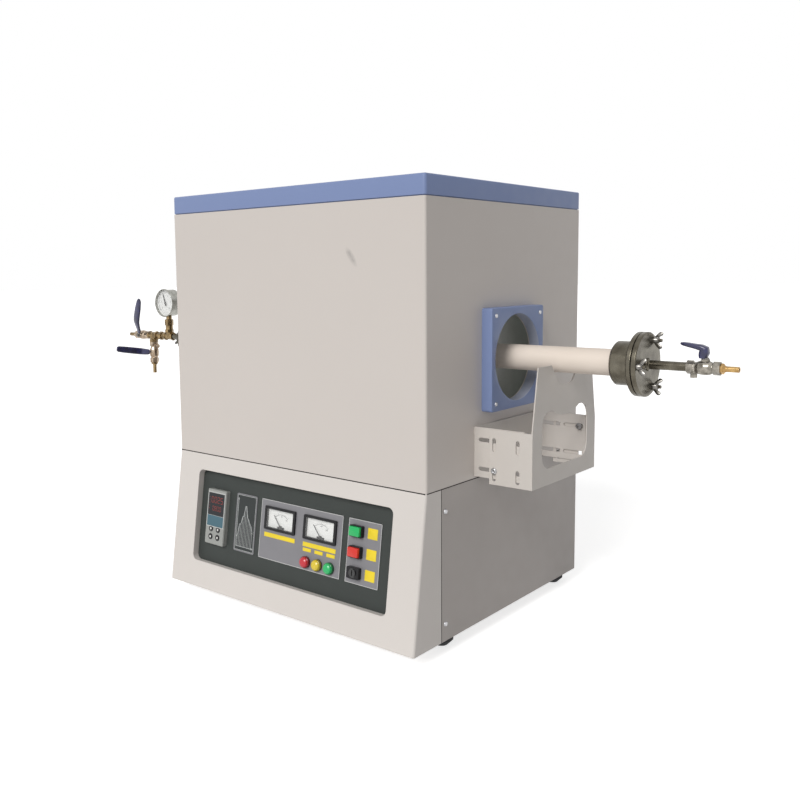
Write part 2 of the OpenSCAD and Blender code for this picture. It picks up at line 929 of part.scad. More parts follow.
module work_tube() {
    color("#f2e6d8") on_axis(-tube_l / 2) ring(tube_r, tube_r - tube_wall, tube_l, $fn = 96);
}

// U bracket screwed to the wall, with horizontal slots in its arms
module wall_brackets() {
    y0 = tube_y - bracket_w / 2;
    color("#d6d1cb") both_sides() difference() {
        translate([side_x, y0, bracket_z]) difference() {
            cube([bracket_l, bracket_w, bracket_h]);
            translate([bracket_t, bracket_t, -cut])
                cube([bracket_l, bracket_w - 2 * bracket_t, bracket_h + 2 * cut]);
        }
        for (i = [0, 1]) {
            for (z = bolt_zs) {
                translate([side_x + bolt_xs[i] - reach_slot_l / 2 + slot_r + 3, y0 - cut, z])
                    rotate([-90, 0, 0]) linear_extrude(bracket_w + 2 * cut) slot(reach_slot_l, slot_r);
            }
        }
        bracket_screw_places(side_x - cut) screw_hole(bracket_t + 2 * cut);
    }
}

// Outline of the saddle's plate, about the tube's axis and from the saddle's lower edge
module saddle_outline() {
    half = saddle_w / 2;
    axis_up = tube_z - saddle_z;
    floor_up = axis_up - notch_drop;
    horn_up = floor_up + 32;
    polygon([
        [-half, 0], [half, 0], [half, saddle_arm_h], [half - 16, horn_up],
        [46, horn_up], [36, horn_up - 13], [21, floor_up + 3], [12, floor_up],
        [-12, floor_up], [-21, floor_up + 3], [-36, horn_up - 13], [-46, horn_up],
        [-half + 16, horn_up], [-half, saddle_arm_h]
    ]);
}

// Window under the notch: round corners, and a tongue that hangs down in the middle
module saddle_window() {
    w = saddle_w - 58;
    low = 25;
    high = saddle_arm_h + 28;
    tongue = 11;
    lobe = w * 0.3;
    tongue_r = (lobe * lobe + tongue * tongue) / (2 * tongue);
    difference() {
        translate([0, (low + high) / 2]) rounded_square(w, high - low, 22);
        translate([0, high - tongue + tongue_r]) circle(tongue_r, $fn = 180);
    }
}

module saddle(side) {
    half = saddle_w / 2;
    plate_x = side_x + saddle_reach - bracket_t;
    color("#d6d1cb") on_side(side) {
        translate([plate_x, tube_y, saddle_z]) rotate([90, 0, 90]) linear_extrude(bracket_t) difference() {
            saddle_outline();
            saddle_window();
        }
        for (y = [-half, half - bracket_t]) {
            difference() {
                translate([side_x + saddle_reach - saddle_arm_l, tube_y + y, saddle_z])
                    cube([saddle_arm_l - bracket_t + 0.01, bracket_t, saddle_arm_h]);
                for (x = bolt_xs) {
                    for (z = bolt_zs) {
                        translate([side_x + x, tube_y + y - cut, z - height_slot_l / 2 + slot_r + 2])
                            rotate([-90, 0, 0]) linear_extrude(bracket_t + 2 * cut)
                                rotate(90) slot(height_slot_l, slot_r);
                    }
                }
            }
        }
    }
}

// Bolt with a washer outside the saddle's arm and a nut inside the wall bracket's arm
module saddle_bolts(side) {
    grip = 2 * bracket_t + arm_gap;
    washer_t = 1.2;
    nut_t = 5;
    color("#b9bcc0") on_side(side) for (face = [-1, 1]) {
        for (x = bolt_xs) {
            for (z = bolt_zs) {
                translate([side_x + x, tube_y + face * saddle_w / 2, z]) rotate([-90 * face, 0, 0]) {
                    cylinder(r = 2.5 * bolt_r, h = washer_t);
                    translate([0, 0, washer_t]) cylinder(r1 = bolt_r + 2.4, r2 = bolt_r + 1.6, h = 3.2);
                    translate([0, 0, -grip - nut_t - 2]) cylinder(r = bolt_r, h = grip + nut_t + 2);
                    translate([0, 0, -grip - nut_t]) hexagon(2 * bolt_r, nut_t);
                }
            }
        }
    }
}

// ---------------------------------------------------------------- end flanges

module stud_places(r = stud_circle_r) {
    for (a = stud_angles) rotate(a) translate([r, 0, 0]) children();
}

// Turned sleeve and clamp flange in one piece, with its studs
module tube_flanges() {
    back = flange_in_x - sleeve_l;
    seat = 4;
    nose = 3;
    bore = tube_r + tube_gap;
    seal_bore = bore + 3;
    color("#8b8676") both_sides() on_axis(back) flange_turn() {
        rotate_extrude($fn = 96) polygon([
            [bore, 0], [sleeve_r - nose, 0], [sleeve_r, nose], [sleeve_r, sleeve_l - 5],
            [sleeve_r + 4, sleeve_l - 1.5], [sleeve_r + 4, sleeve_l], [flange_r - 1.2, sleeve_l],
            [flange_r, sleeve_l + 1.2], [flange_r, sleeve_l + flange_t - 0.6],
            [flange_r - 0.6, sleeve_l + flange_t], [seal_bore, sleeve_l + flange_t],
            [seal_bore, sleeve_l - seat], [bore, sleeve_l - seat]
        ]);
        stud_places() translate([0, 0, sleeve_l + flange_t])
            cylinder(r = stud_r, h = face_seal_t + flange_t + nut_h + 4);
    }
}

// Turns the stud pattern so that angle 0 faces the back and 90 points up
module flange_turn() {
    rotate(90) children();
}

module seal_rings() {
    bore = tube_r + tube_gap;
    color("#b5482e") both_sides() on_axis(flange_in_x) {
        translate([0, 0, -4]) ring(bore + 3, bore, 9);
        translate([0, 0, flange_t]) ring(tube_r + 12, tube_r + 8, face_seal_t, $fn = 96);
    }
}

module end_plate(side, l) {
    color("#8b8676") on_side(side) on_axis(plate_in_x) flange_turn() difference() {
        union() {
            rotate_extrude($fn = 96) polygon([
                [0, 0], [flange_r - 0.6, 0], [flange_r, 0.6], [flange_r, flange_t - 1.2],
                [flange_r - 1.2, flange_t], [pipe_r + 3, flange_t], [pipe_r + 3, flange_t + 1.5],
                [pipe_r, flange_t + 3], [0, flange_t + 3]
            ]);
            cylinder(r = pipe_r, h = flange_t + l);
        }
        translate([0, 0, -cut]) cylinder(r = pipe_bore_r, h = flange_t + l + 2 * cut);
        stud_places() translate([0, 0, -cut]) cylinder(r = stud_r + 0.5, h = flange_t + 2 * cut);
    }
}

// Wing nut: a tapered hub with two ears
module wing_nut(side, i) {
    ear_t = 2.4;
    hub = stud_r + 2.5;
    turn = [20, 75, 130][i];
    color("#c9c6ba") on_side(side) on_axis(flange_x) flange_turn() rotate(stud_angles[i])
        translate([stud_circle_r, 0, 0]) rotate(turn) difference() {
            union() {
                cylinder(r1 = hub, r2 = hub - 1, h = nut_h);
                for (ear = [0, 180]) rotate(ear) rotate([90, 0, 0])
                    translate([0, 0, -ear_t / 2]) linear_extrude(ear_t) {
                        polygon([[2, 2], [hub, 1], [hub + 5.5, 6], [hub + 3, 12], [2, 7]]);
                        translate([hub + 3.6, 9]) circle(3.4);
                    }
            }
            translate([0, 0, -cut]) cylinder(r = stud_r + nut_gap, h = 4 * nut_h);
        }
}

// ---------------------------------------------------------------- gas fittings

// Ball valve along +Z with its stem towards +X of its own frame
stem_at = valve_l * 0.53;
neck_h = 12;
valve_bore_r = 3.5;
stem_r = 2.5;

module ball_valve() {
    waist = hex_r - 2;
    difference() {
        union() {
            hexagon(hex_r, 9);
            translate([0, 0, valve_l - 10]) hexagon(hex_r, 10);
            rotate_extrude() polygon([
                [0, 8], [waist, 8], [waist, 12], [hex_r, 17], [hex_r + 0.8, stem_at],
                [hex_r, valve_l - 15], [waist, valve_l - 11], [waist, valve_l - 9], [0, valve_l - 9]
            ]);
            translate([0, 0, stem_at]) rotate([0, 90, 0]) {
                cylinder(r = 5.5, h = neck_h);
                translate([0, 0, neck_h - 3]) hexagon(6.4, 3);
            }
            // small hexagon plug under the inlet end
            translate([0, 0, 9]) rotate([0, -90, 0]) hexagon(5, hex_r + 5);
        }
        translate([0, 0, -cut]) cylinder(r = valve_bore_r, h = valve_l + 2 * cut);
        translate([0, 0, stem_at]) rotate([0, 90, 0]) translate([0, 0, 2])
            cylinder(r = stem_r + run_gap, h = neck_h);
    }
}

// Hose barb along +Z: hexagon, shoulder, plain tail and a slight lip
module hose_barb() {
    tail = barb_l - 7;
    difference() {
        union() {
            hexagon(hex_r - 2, 4);
            translate([0, 0, 4]) cylinder(r1 = barb_r + 1.5, r2 = barb_r, h = 3);
            translate([0, 0, 7]) cylinder(r = barb_r, h = tail);
        }
        translate([0, 0, -cut]) cylinder(r = barb_r - 1.6, h = barb_l + 2 * cut);
    }
}

// Cranked lever in the plane of its stem (+X) and its grip (-Z at rest on a valve)
module lever_bar(l) {
    t = 3.4;
    crank = 11;
    hub_t = 2.4;
    grip_w = 9.5;
    difference() {
        union() {
            cylinder(r = grip_w / 2, h = hub_t);
            intersection() {
                rotate([90, 0, 0]) translate([0, 0, -grip_w / 2]) linear_extrude(grip_w) polygon([
                    [0, 0], [3, 0], [9, crank], [l - 2, crank + 5], [l, crank + 6.4], [l - 0.6, crank + 8.4],
                    [l - 3, crank + 5 + t], [7.2, crank + t], [1, hub_t], [0, hub_t]
                ]);
                translate([0, 0, -cut]) linear_extrude(crank + 12) {
                    polygon([[0, -grip_w / 2], [l * 0.6, -grip_w / 2], [l - 3, -3.4], [l - 3, 3.4],
                        [l * 0.6, grip_w / 2], [0, grip_w / 2]]);
                    translate([l - 3.4, 0]) circle(3.4);
                }
            }
            // stem below and its nut above
            translate([0, 0, 1 - neck_h]) cylinder(r = stem_r, h = neck_h);
            translate([0, 0, hub_t]) hexagon(3.6, 2.2);
        }
    }
}

// A lever on a valve's stem: turned by a about the stem from pointing back along the pipe
module valve_lever(l, a) {
    lever_lift = 0.2;
    translate([neck_h + lever_lift, 0, stem_at]) rotate([0, 90, 0]) rotate(a) lever_bar(l);
}

// Right end: pipe axis along +X, stem up
module right_valve_place() {
    on_axis(flange_x + pipe_l) rotate(180) children();
}

module valve_right() {
    color("#b3ada0") right_valve_place() ball_valve();
}

module lever_right() {
    color("#31396f") right_valve_place() valve_lever(lever_l, 0);
}

module barb_right() {
    color("#c79a3f") on_axis(flange_x + pipe_l + valve_l) hose_barb();
}

// Left end: the same kinds of valve, one in line and one on the drain branch
module left_place(x) {
    mirror([1, 0, 0]) on_axis(flange_x + x) children();
}

module tee(r) {
    translate([0, 0, -tee_half]) cylinder(r = r, h = 2 * tee_half);
    for (z = [-tee_half, tee_half - 6]) translate([0, 0, z]) hexagon(hex_r, 6);
}

module gas_train_left() {
    drain_z = -tee_half - valve_l;
    color("#b98d3a") {
        // gauge tee
        left_place(gauge_x) bored(2 * tee_half) {
            tee(pipe_r + 1);
            rotate([0, -90, 0]) cylinder(r = pipe_r + 1, h = tee_half);
            translate([-tee_half + 6, 0, 0]) rotate([0, -90, 0]) hexagon(hex_r, 6);
        }
        left_place(gauge_x + tee_half) bored_tube(branch_pitch - 2 * tee_half) nipple();
        left_place(branch_x) bored(2 * tee_half) {
            tee(pipe_r + 1);
            rotate([0, 90, 0]) cylinder(r = pipe_r + 1, h = tee_half);
            translate([tee_half - 6, 0, 0]) rotate([0, 90, 0]) hexagon(hex_r, 6);
        }
        left_place(valve_left_x + valve_l) hose_barb();
        left_place(branch_x) translate([-drain_z, 0, 0]) rotate([0, 90, 0]) hose_barb();
    }
}

module bored(l) {
    difference() {
        children();
        cylinder(r = pipe_bore_r, h = l + 2 * cut, center = true);
    }
}

module bored_tube(l) {
    difference() {
        children();
        translate([0, 0, -cut]) cylinder(r = pipe_bore_r, h = l + 2 * cut);
    }
}

module nipple() {
    l = branch_pitch - 2 * tee_half;
    cylinder(r = pipe_r, h = l);
    translate([0, 0, l / 2 - 4]) hexagon(hex_r, 8);
}

module valves_left() {
    color("#b3ada0") {
        left_place(valve_left_x) left_end_turn() ball_valve();
        left_place(branch_x) translate([tee_half, 0, 0]) rotate([0, 90, 0]) drain_turn() ball_valve();
    }
}

// The in-line valve's stem faces the front, the drain valve's stem faces away from the body
module left_end_turn() {
    rotate(-90) children();
}

module drain_turn() {
    rotate(180) children();
}

end_lever_lean = 18;

module lever_left_end() {
    color("#31396f") left_place(valve_left_x) left_end_turn()
        valve_lever(long_lever_l, end_lever_lean - 90);
}

module lever_left_drain() {
    color("#31396f") left_place(branch_x) translate([tee_half, 0, 0]) rotate([0, 90, 0]) drain_turn()
        valve_lever(long_lever_l, 90);
}

// Pressure gauge: the dial faces the front
gauge_y = tube_y - gauge_d / 2;
rim_w = 3;
dial_in = 6;

module gauge_place() {
    translate([-flange_x - gauge_x, gauge_y, tube_z + gauge_up]) rotate([90, 0, 0]) children();
}

module gauge_case() {
    socket = 7;
    color("#c9ccd0") {
        gauge_place() translate([0, 0, -gauge_d]) rotate_extrude($fn = 96) polygon([
            [0, 0], [gauge_r - 4, 0], [gauge_r - 1.5, 3], [gauge_r - 1.5, gauge_d - 8],
            [gauge_r, gauge_d - 7], [gauge_r, gauge_d - 1], [gauge_r - 1, gauge_d],
            [gauge_r - rim_w, gauge_d], [gauge_r - rim_w - 1, gauge_d - dial_in],
            [0, gauge_d - dial_in]
        ]);
        // pin that carries the pointer
        gauge_place() translate([0, 0, -dial_in - cut]) cylinder(r = 1, h = dial_in / 2 + cut);
    }
    color("#b98d3a") translate([-flange_x - gauge_x, tube_y, tube_z + tee_half])
        gauge_stem(gauge_up - tee_half - gauge_r + 2, socket);
}

module gauge_stem(l, socket) {
    cylinder(r = pipe_r - 0.5, h = l);
    translate([-socket, -socket, l * 0.4]) cube([2 * socket, 2 * socket, l * 0.45]);
}

module gauge_pointer() {
    rest_angle = 20;
    tip = gauge_r * 0.7;
    color("#1d1d1f") gauge_place() translate([0, 0, 1.4 - dial_in])
        rotate(rest_angle) linear_extrude(1) difference() {
            union() {
                circle(2.6);
                polygon([[-1.2, -7], [1.2, -7], [0.7, tip - 2.5], [0, tip], [-0.7, tip - 2.5]]);
            }
            circle(1 + slot_gap);
        }
}

base_cabinet();
control_fascia();
upper_case();
top_cover();
case_screws();
feet();
port_collars();
control_panel();
panel_plates();
controller_case();
display_windows();
controller_key(0, 0);  // key_set
controller_key(1, 0);  // key_shift
controller_key(0, 1);  // key_down
controller_key(1, 1);  // key_up
meter_cases();
meter_needle(meter_xs[0]);  // ammeter_needle
meter_needle(meter_xs[1]);  // voltmeter_needle
switch_housings();
lamp(0, "#b0202c");  // lamp_red
lamp(1, "#d8c84a");  // lamp_yellow
lamp(2, "#12a058");  // lamp_green
push_cap(0, "#1fc46a");  // start_button
push_cap(1, "#e2362c");  // stop_button
lock_barrel();
liner();
insulation_lower();
insulation_upper();
heating_elements();
thermocouple();
transformer();
power_controller();
fan_housing();
fan_rotor();
cable_gland();
work_tube();
wall_brackets();
saddle_bolts(1);  // saddle_bolts_right
saddle_bolts(-1);  // saddle_bolts_left
saddle(1);  // saddle_right
saddle(-1);  // saddle_left
tube_flanges();
seal_rings();
end_plate(1, pipe_l);  // end_plate_right
end_plate(-1, pipe_left_l);  // end_plate_left
wing_nut(1, 0);  // wing_nut_right_top
wing_nut(1, 1);  // wing_nut_right_front
wing_nut(1, 2);  // wing_nut_right_low
wing_nut(-1, 0);  // wing_nut_left_top
wing_nut(-1, 1);  // wing_nut_left_front
wing_nut(-1, 2);  // wing_nut_left_low
valve_right();
lever_right();
barb_right();
gas_train_left();
gauge_case();
gauge_pointer();
valves_left();
lever_left_end();
lever_left_drain();
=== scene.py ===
# %% [markdown]
# # A bench-top tube furnace
# A heated steel case carries a ceramic tube right through it. Gas fittings close the tube at both
# ends, and a sloped panel below the case holds the controls. The rigid parts already exist as solids
# with exact sizes, so this lesson loads them as a fixed frame, gives each one its finish, and models
# the pieces whose look needs more than a machined solid: rounded covers, lenses, dials, levers.

# %% Load the frame
from math import atan2, copysign, cos, pi, radians, sin, tau
import bmesh
import bpy
from mathutils import Matrix, Vector


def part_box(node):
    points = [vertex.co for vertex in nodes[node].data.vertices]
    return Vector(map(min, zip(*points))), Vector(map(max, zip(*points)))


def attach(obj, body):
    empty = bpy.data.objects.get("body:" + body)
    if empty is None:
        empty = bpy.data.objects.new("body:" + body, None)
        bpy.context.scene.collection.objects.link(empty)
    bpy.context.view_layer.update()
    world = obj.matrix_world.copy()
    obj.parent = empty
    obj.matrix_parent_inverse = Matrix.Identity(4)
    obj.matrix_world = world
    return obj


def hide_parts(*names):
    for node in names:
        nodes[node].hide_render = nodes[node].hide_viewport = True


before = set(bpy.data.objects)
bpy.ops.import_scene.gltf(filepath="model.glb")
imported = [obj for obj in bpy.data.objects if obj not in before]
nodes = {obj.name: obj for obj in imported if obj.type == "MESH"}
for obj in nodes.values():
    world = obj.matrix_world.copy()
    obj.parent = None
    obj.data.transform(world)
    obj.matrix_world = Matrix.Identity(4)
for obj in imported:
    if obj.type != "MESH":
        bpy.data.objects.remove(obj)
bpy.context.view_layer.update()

scene = bpy.context.scene

# %% [markdown]
# ## The camera
# The furnace is seen from its right front corner, from a little above the middle of its case. The
# camera could be aimed with a Track To constraint, but a matrix built from yaw, pitch and roll keeps
# the exact view. The small lens shift frames the object as a cropped picture does.

# %% Camera
eye = Vector((1.0037, -1.2514, 0.57425))
yaw, pitch, roll = 0.706, -0.106, -0.012
ahead = Vector((-sin(yaw) * cos(pitch), cos(yaw) * cos(pitch), sin(pitch)))
right = Vector((cos(yaw), sin(yaw), 0))
up = right.cross(ahead)
rolled_right = right * cos(roll) + up * sin(roll)
rolled_up = up * cos(roll) - right * sin(roll)
optics = bpy.data.cameras.new("camera")
optics.sensor_width, optics.lens = 36, 40.01
optics.shift_x, optics.shift_y = 0.0607, -0.0417
optics.clip_start = 0.02
camera = bpy.data.objects.new("camera", optics)
turn = Matrix((rolled_right, rolled_up, -ahead)).transposed().to_4x4()
camera.matrix_world = Matrix.Translation(eye) @ turn
scene.collection.objects.link(camera)
scene.camera = camera
print("camera looks along", tuple(round(v, 3) for v in ahead))

# %% [markdown]
# ## Floor, sky and lamps
# A studio picture of a machine has a white floor that runs into a white background. A curved sweep
# would do it; a wide flat floor under a white sky is simpler and gives the same picture. The sky is
# dim for the object and white only for the camera and for reflections, so that the paint keeps its
# own colour while metal still mirrors a bright room. One soft sun stands in front, so the front is
# bright and the side is in shade.

# %% Floor
SKY_FOR_OBJECT, SKY_FOR_CAMERA = 0.26, 1.0
FLOOR_GREY, FLOOR_GLOW, FLOOR_HALF = 0.8, 0.72, 30


def see_only(tree):
    """A factor of one for the camera, for mirrors and for glass."""
    path = tree.nodes.new("ShaderNodeLightPath")
    factor = path.outputs["Is Camera Ray"]
    for kind in ("Is Glossy Ray", "Is Transmission Ray"):
        either = tree.nodes.new("ShaderNodeMath")
        either.operation = "MAXIMUM"
        tree.links.new(factor, either.inputs[0])
        tree.links.new(path.outputs[kind], either.inputs[1])
        factor = either.outputs[0]
    return factor


floor_paint = bpy.data.materials.new("floor paint")
floor_paint.use_nodes = True
tree = floor_paint.node_tree
matt = tree.nodes["Principled BSDF"]
matt.inputs["Base Color"].default_value = (FLOOR_GREY, FLOOR_GREY, FLOOR_GREY, 1)
matt.inputs["Roughness"].default_value = 0.9
matt.inputs["Specular IOR Level"].default_value = 0.1
glow = tree.nodes.new("ShaderNodeEmission")
tree.links.new(see_only(tree), glow.inputs["Strength"])
glow.inputs["Color"].default_value = (FLOOR_GLOW, FLOOR_GLOW, FLOOR_GLOW, 1)
both = tree.nodes.new("ShaderNodeAddShader")
tree.links.new(matt.outputs[0], both.inputs[0])
tree.links.new(glow.outputs[0], both.inputs[1])
tree.links.new(both.outputs[0], tree.nodes["Material Output"].inputs["Surface"])

sheet = bmesh.new()
bmesh.ops.create_grid(sheet, x_segments=1, y_segments=1, size=FLOOR_HALF)
floor_mesh = bpy.data.meshes.new("floor")
sheet.to_mesh(floor_mesh)
sheet.free()
floor_mesh.materials.append(floor_paint)
floor = bpy.data.objects.new("floor", floor_mesh)
scene.collection.objects.link(floor)

# %% Sky and lamps
sky = bpy.data.worlds.new("studio")
scene.world = sky
sky.use_nodes = True
tree = sky.node_tree
dim, white = tree.nodes["Background"], tree.nodes.new("ShaderNodeBackground")
for background, strength in ((dim, SKY_FOR_OBJECT), (white, SKY_FOR_CAMERA)):
    background.inputs["Color"].default_value = (1, 1, 1, 1)
    background.inputs["Strength"].default_value = strength
mixer = tree.nodes.new("ShaderNodeMixShader")
tree.links.new(see_only(tree), mixer.inputs[0])
tree.links.new(dim.outputs[0], mixer.inputs[1])
tree.links.new(white.outputs[0], mixer.inputs[2])
tree.links.new(mixer.outputs[0], tree.nodes["World Output"].inputs["Surface"])


def sun(name, towards, strength, angle, tint):
    lamp = bpy.data.lights.new(name, "SUN")
    lamp.energy, lamp.angle, lamp.color = strength, radians(angle), tint
    holder = bpy.data.objects.new(name, lamp)
    holder.rotation_euler = Vector(towards).to_track_quat("Z", "Y").to_euler()
    scene.collection.objects.link(holder)


sun("key", (0.06, -0.82, 0.57), 2.1, 28, (1, 0.99, 0.97))
scene.view_settings.view_transform = "Standard"
print("sky", SKY_FOR_OBJECT, "for the object,", SKY_FOR_CAMERA, "for the camera")

# %% [markdown]
# ## Finishes as small node trees
# Every finish starts from the Principled shader. What changes over the surface (mottle, grain,
# brushing) comes from noise on Object coordinates, which stay put when a piece moves with its body.
# Machined solids have knife edges, so a Bevel node rounds their edges in the shading only.

# %% Node helpers
class Finish:
    """A material and short ways to wire it."""

    def __init__(self, name, colour, roughness, metallic=0.0, **sockets):
        self.material = bpy.data.materials.new(name)
        self.material.use_nodes = True
        self.tree = self.material.node_tree
        self.shader = self.tree.nodes["Principled BSDF"]
        self.shader.inputs["Base Color"].default_value = (*colour, 1)
        self.shader.inputs["Roughness"].default_value = roughness
        self.shader.inputs["Metallic"].default_value = metallic
        for socket, value in sockets.items():
            self.shader.inputs[socket.replace("_", " ")].default_value = value
        self.colour = colour

    def noise(self, scale, detail, stretch=(1, 1, 1)):
        place = self.tree.nodes.new("ShaderNodeTexCoord")
        spread = self.tree.nodes.new("ShaderNodeMapping")
        spread.inputs["Scale"].default_value = stretch
        noise = self.tree.nodes.new("ShaderNodeTexNoise")
        noise.inputs["Scale"].default_value = scale
        noise.inputs["Detail"].default_value = detail
        self.tree.links.new(place.outputs["Object"], spread.inputs[0])
        self.tree.links.new(spread.outputs[0], noise.inputs["Vector"])
        return noise.outputs["Fac"]

    def ranged(self, value, low, high, start=0.3, end=0.7):
        span = self.tree.nodes.new("ShaderNodeMapRange")
        for i, number in enumerate((start, end, low, high)):
            span.inputs[i + 1].default_value = number
        self.tree.links.new(value, span.inputs[0])
        return span.outputs[0]

    def mottle(self, value, second, amount=1.0):
        """Blends the base colour towards a second colour where value is high."""
        blend = self.tree.nodes.new("ShaderNodeMix")
        blend.data_type = "RGBA"
        before = self.shader.inputs["Base Color"]
        if before.is_linked:
            self.tree.links.new(before.links[0].from_socket, blend.inputs[6])
        else:
            blend.inputs[6].default_value = (*self.colour, 1)
        blend.inputs[7].default_value = (*second, 1)
        self.tree.links.new(self.ranged(value, 0.0, amount), blend.inputs[0])
        self.tree.links.new(blend.outputs[2], before)

    def gloss(self, value, low, high):
        self.tree.links.new(self.ranged(value, low, high), self.shader.inputs["Roughness"])

    def relief(self, height, strength, depth, edge=0.0):
        """Bump from a height, over a rounded edge."""
        bump = self.tree.nodes.new("ShaderNodeBump")
        bump.inputs["Strength"].default_value = strength
        bump.inputs["Distance"].default_value = depth
        self.tree.links.new(height, bump.inputs["Height"])
        if edge:
            rounded = self.tree.nodes.new("ShaderNodeBevel")
            rounded.samples = 6
            rounded.inputs["Radius"].default_value = edge
            self.tree.links.new(rounded.outputs[0], bump.inputs["Normal"])
        self.tree.links.new(bump.outputs[0], self.shader.inputs["Normal"])


def paint_nodes(finish, *names):
    """Gives frame nodes a finish in place of the plain one they came with."""
    for name in names:
        mesh = nodes[name].data
        mesh.materials.clear()
        mesh.materials.append(finish.material)


# %% [markdown]
# ## Powder coat
# Sheet steel is sprayed with dry powder and baked. The coat is satin, with a fine orange peel that
# breaks up highlights, and it varies very slightly in tone over a large face. Five coats are used: a
# warm light grey for the case, the same grey made darker for the cabinet as painted shade, since the
# lower cabinet gets less light than the case above it, paler ones for the front shell and the sheet
# metal fittings, and a periwinkle blue. A small slanting scuff mars the front of the case.

# %% Powder coats
def powder_coat(name, colour, second, edge=0.0012):
    coat = Finish(name, colour, 0.42, Specular_IOR_Level=0.35)
    coat.mottle(coat.noise(3.2, 4), second, 0.8)
    coat.gloss(coat.noise(40, 2), 0.38, 0.5)
    coat.relief(coat.noise(620, 2), 0.14, 0.00012, edge)
    return coat


case_coat = powder_coat("case coat", (0.665, 0.617, 0.584), (0.645, 0.598, 0.564))
# The cabinet's coat is the case's grey made darker: painted shade for the lower part of the machine, which is
# lit less than the case.
cabinet_coat_painted_shade = powder_coat("cabinet coat painted shade", (0.465, 0.43, 0.41), (0.44, 0.406, 0.386))
front_coat = powder_coat("front shell coat", (0.72, 0.68, 0.65), (0.70, 0.66, 0.63))
blue_coat = powder_coat("blue coat", (0.22, 0.285, 0.50), (0.205, 0.268, 0.475))
bracket_coat = powder_coat("bracket coat", (0.64, 0.60, 0.565), (0.62, 0.58, 0.54), 0.0006)


def scuff(finish, centre, size, lean, colour):
    """A worn spot: a spherical gradient on Object coordinates, broken up by noise."""
    tree = finish.tree
    place = tree.nodes.new("ShaderNodeTexCoord")
    ellipsoid = tree.nodes.new("ShaderNodeMapping")
    ellipsoid.vector_type = "TEXTURE"
    ellipsoid.inputs["Location"].default_value = centre
    ellipsoid.inputs["Rotation"].default_value = (0, radians(lean), 0)
    ellipsoid.inputs["Scale"].default_value = size
    ball = tree.nodes.new("ShaderNodeTexGradient")
    ball.gradient_type = "SPHERICAL"
    tree.links.new(place.outputs["Object"], ellipsoid.inputs[0])
    tree.links.new(ellipsoid.outputs[0], ball.inputs[0])
    broken = tree.nodes.new("ShaderNodeMath")
    broken.operation = "MULTIPLY"
    tree.links.new(ball.outputs["Fac"], broken.inputs[0])
    tree.links.new(finish.noise(140, 5), broken.inputs[1])
    finish.mottle(finish.ranged(broken.outputs[0], 0.3, 0.62, 0.05, 0.4), colour, 0.75)


scuff(case_coat, (0.139, -0.235, 0.597), (0.007, 0.01, 0.021), -36, (0.34, 0.32, 0.31))
paint_nodes(case_coat, "upper_case")
paint_nodes(cabinet_coat_painted_shade, "base_cabinet")
paint_nodes(front_coat, "control_fascia")
paint_nodes(bracket_coat, "wall_brackets", "saddle_right", "saddle_left")
print("powder coats: case, cabinet, front shell, blue, brackets")

# %% [markdown]
# ## Panel, plastics and rubber
# The control panel is a sheet of dark, fine-textured laminate. Instrument cases are moulded plastic
# with a slight grain. The feet are black rubber; the cable gland and the fan are black nylon.

# %% Plastics
def moulded(name, colour, roughness, grain, edge=0.0004, **sockets):
    plastic = Finish(name, colour, roughness, **sockets)
    darker = tuple(c * 0.86 for c in colour)
    plastic.mottle(plastic.noise(25, 3), darker, 0.6)
    plastic.relief(plastic.noise(grain, 2), 0.1, 0.00008, edge)
    return plastic


panel_dark = moulded("dark panel", (0.05, 0.057, 0.054), 0.5, 1400, Specular_IOR_Level=0.2)
plate_grey = moulded("grey plates", (0.235, 0.232, 0.25), 0.36, 1600)
case_grey = moulded("controller case", (0.34, 0.35, 0.335), 0.42, 1400)
black_plastic = moulded("black plastic", (0.012, 0.012, 0.014), 0.32, 1400, Specular_IOR_Level=0.25)
rubber = moulded("rubber", (0.016, 0.016, 0.018), 0.75, 500, 0.001)
ink = moulded("black ink", (0.014, 0.014, 0.016), 0.55, 2500, 0.0)
nylon = moulded("nylon", (0.03, 0.03, 0.033), 0.5, 700)
paint_nodes(panel_dark, "control_panel")
paint_nodes(plate_grey, "panel_plates")
paint_nodes(case_grey, "controller_case")
paint_nodes(black_plastic, "meter_cases", "switch_housings")
paint_nodes(ink, "ammeter_needle", "voltmeter_needle", "gauge_pointer")
paint_nodes(rubber, "feet")
paint_nodes(nylon, "cable_gland", "fan_housing", "fan_rotor")

# %% [markdown]
# ## Metals and ceramics
# Turned stainless steel shows fine rings around its axis, so its noise is stretched: long around the
# turned form and short along it. Cast nickel-plated brass is mottled, plain brass tarnishes in
# patches, and the work tube is fired alumina, matt and slightly warm. The liner behind the ports has a
# faint light of its own, in place of the light that a real furnace's pale insulation throws about.

# %% Metals
def metal(name, colour, second, roughness, patch, grain, strength, edge=0.0005, stretch=(1, 1, 1)):
    """Patches of a second colour, uneven gloss and a fine relief, which stretch turns into rings."""
    surface = Finish(name, colour, roughness, 1.0)
    surface.mottle(surface.noise(patch, 5), second)
    surface.gloss(surface.noise(patch * 2.3, 3), roughness * 0.75, roughness * 1.3)
    surface.relief(surface.noise(grain, 3, stretch), strength, 0.00015, edge)
    return surface
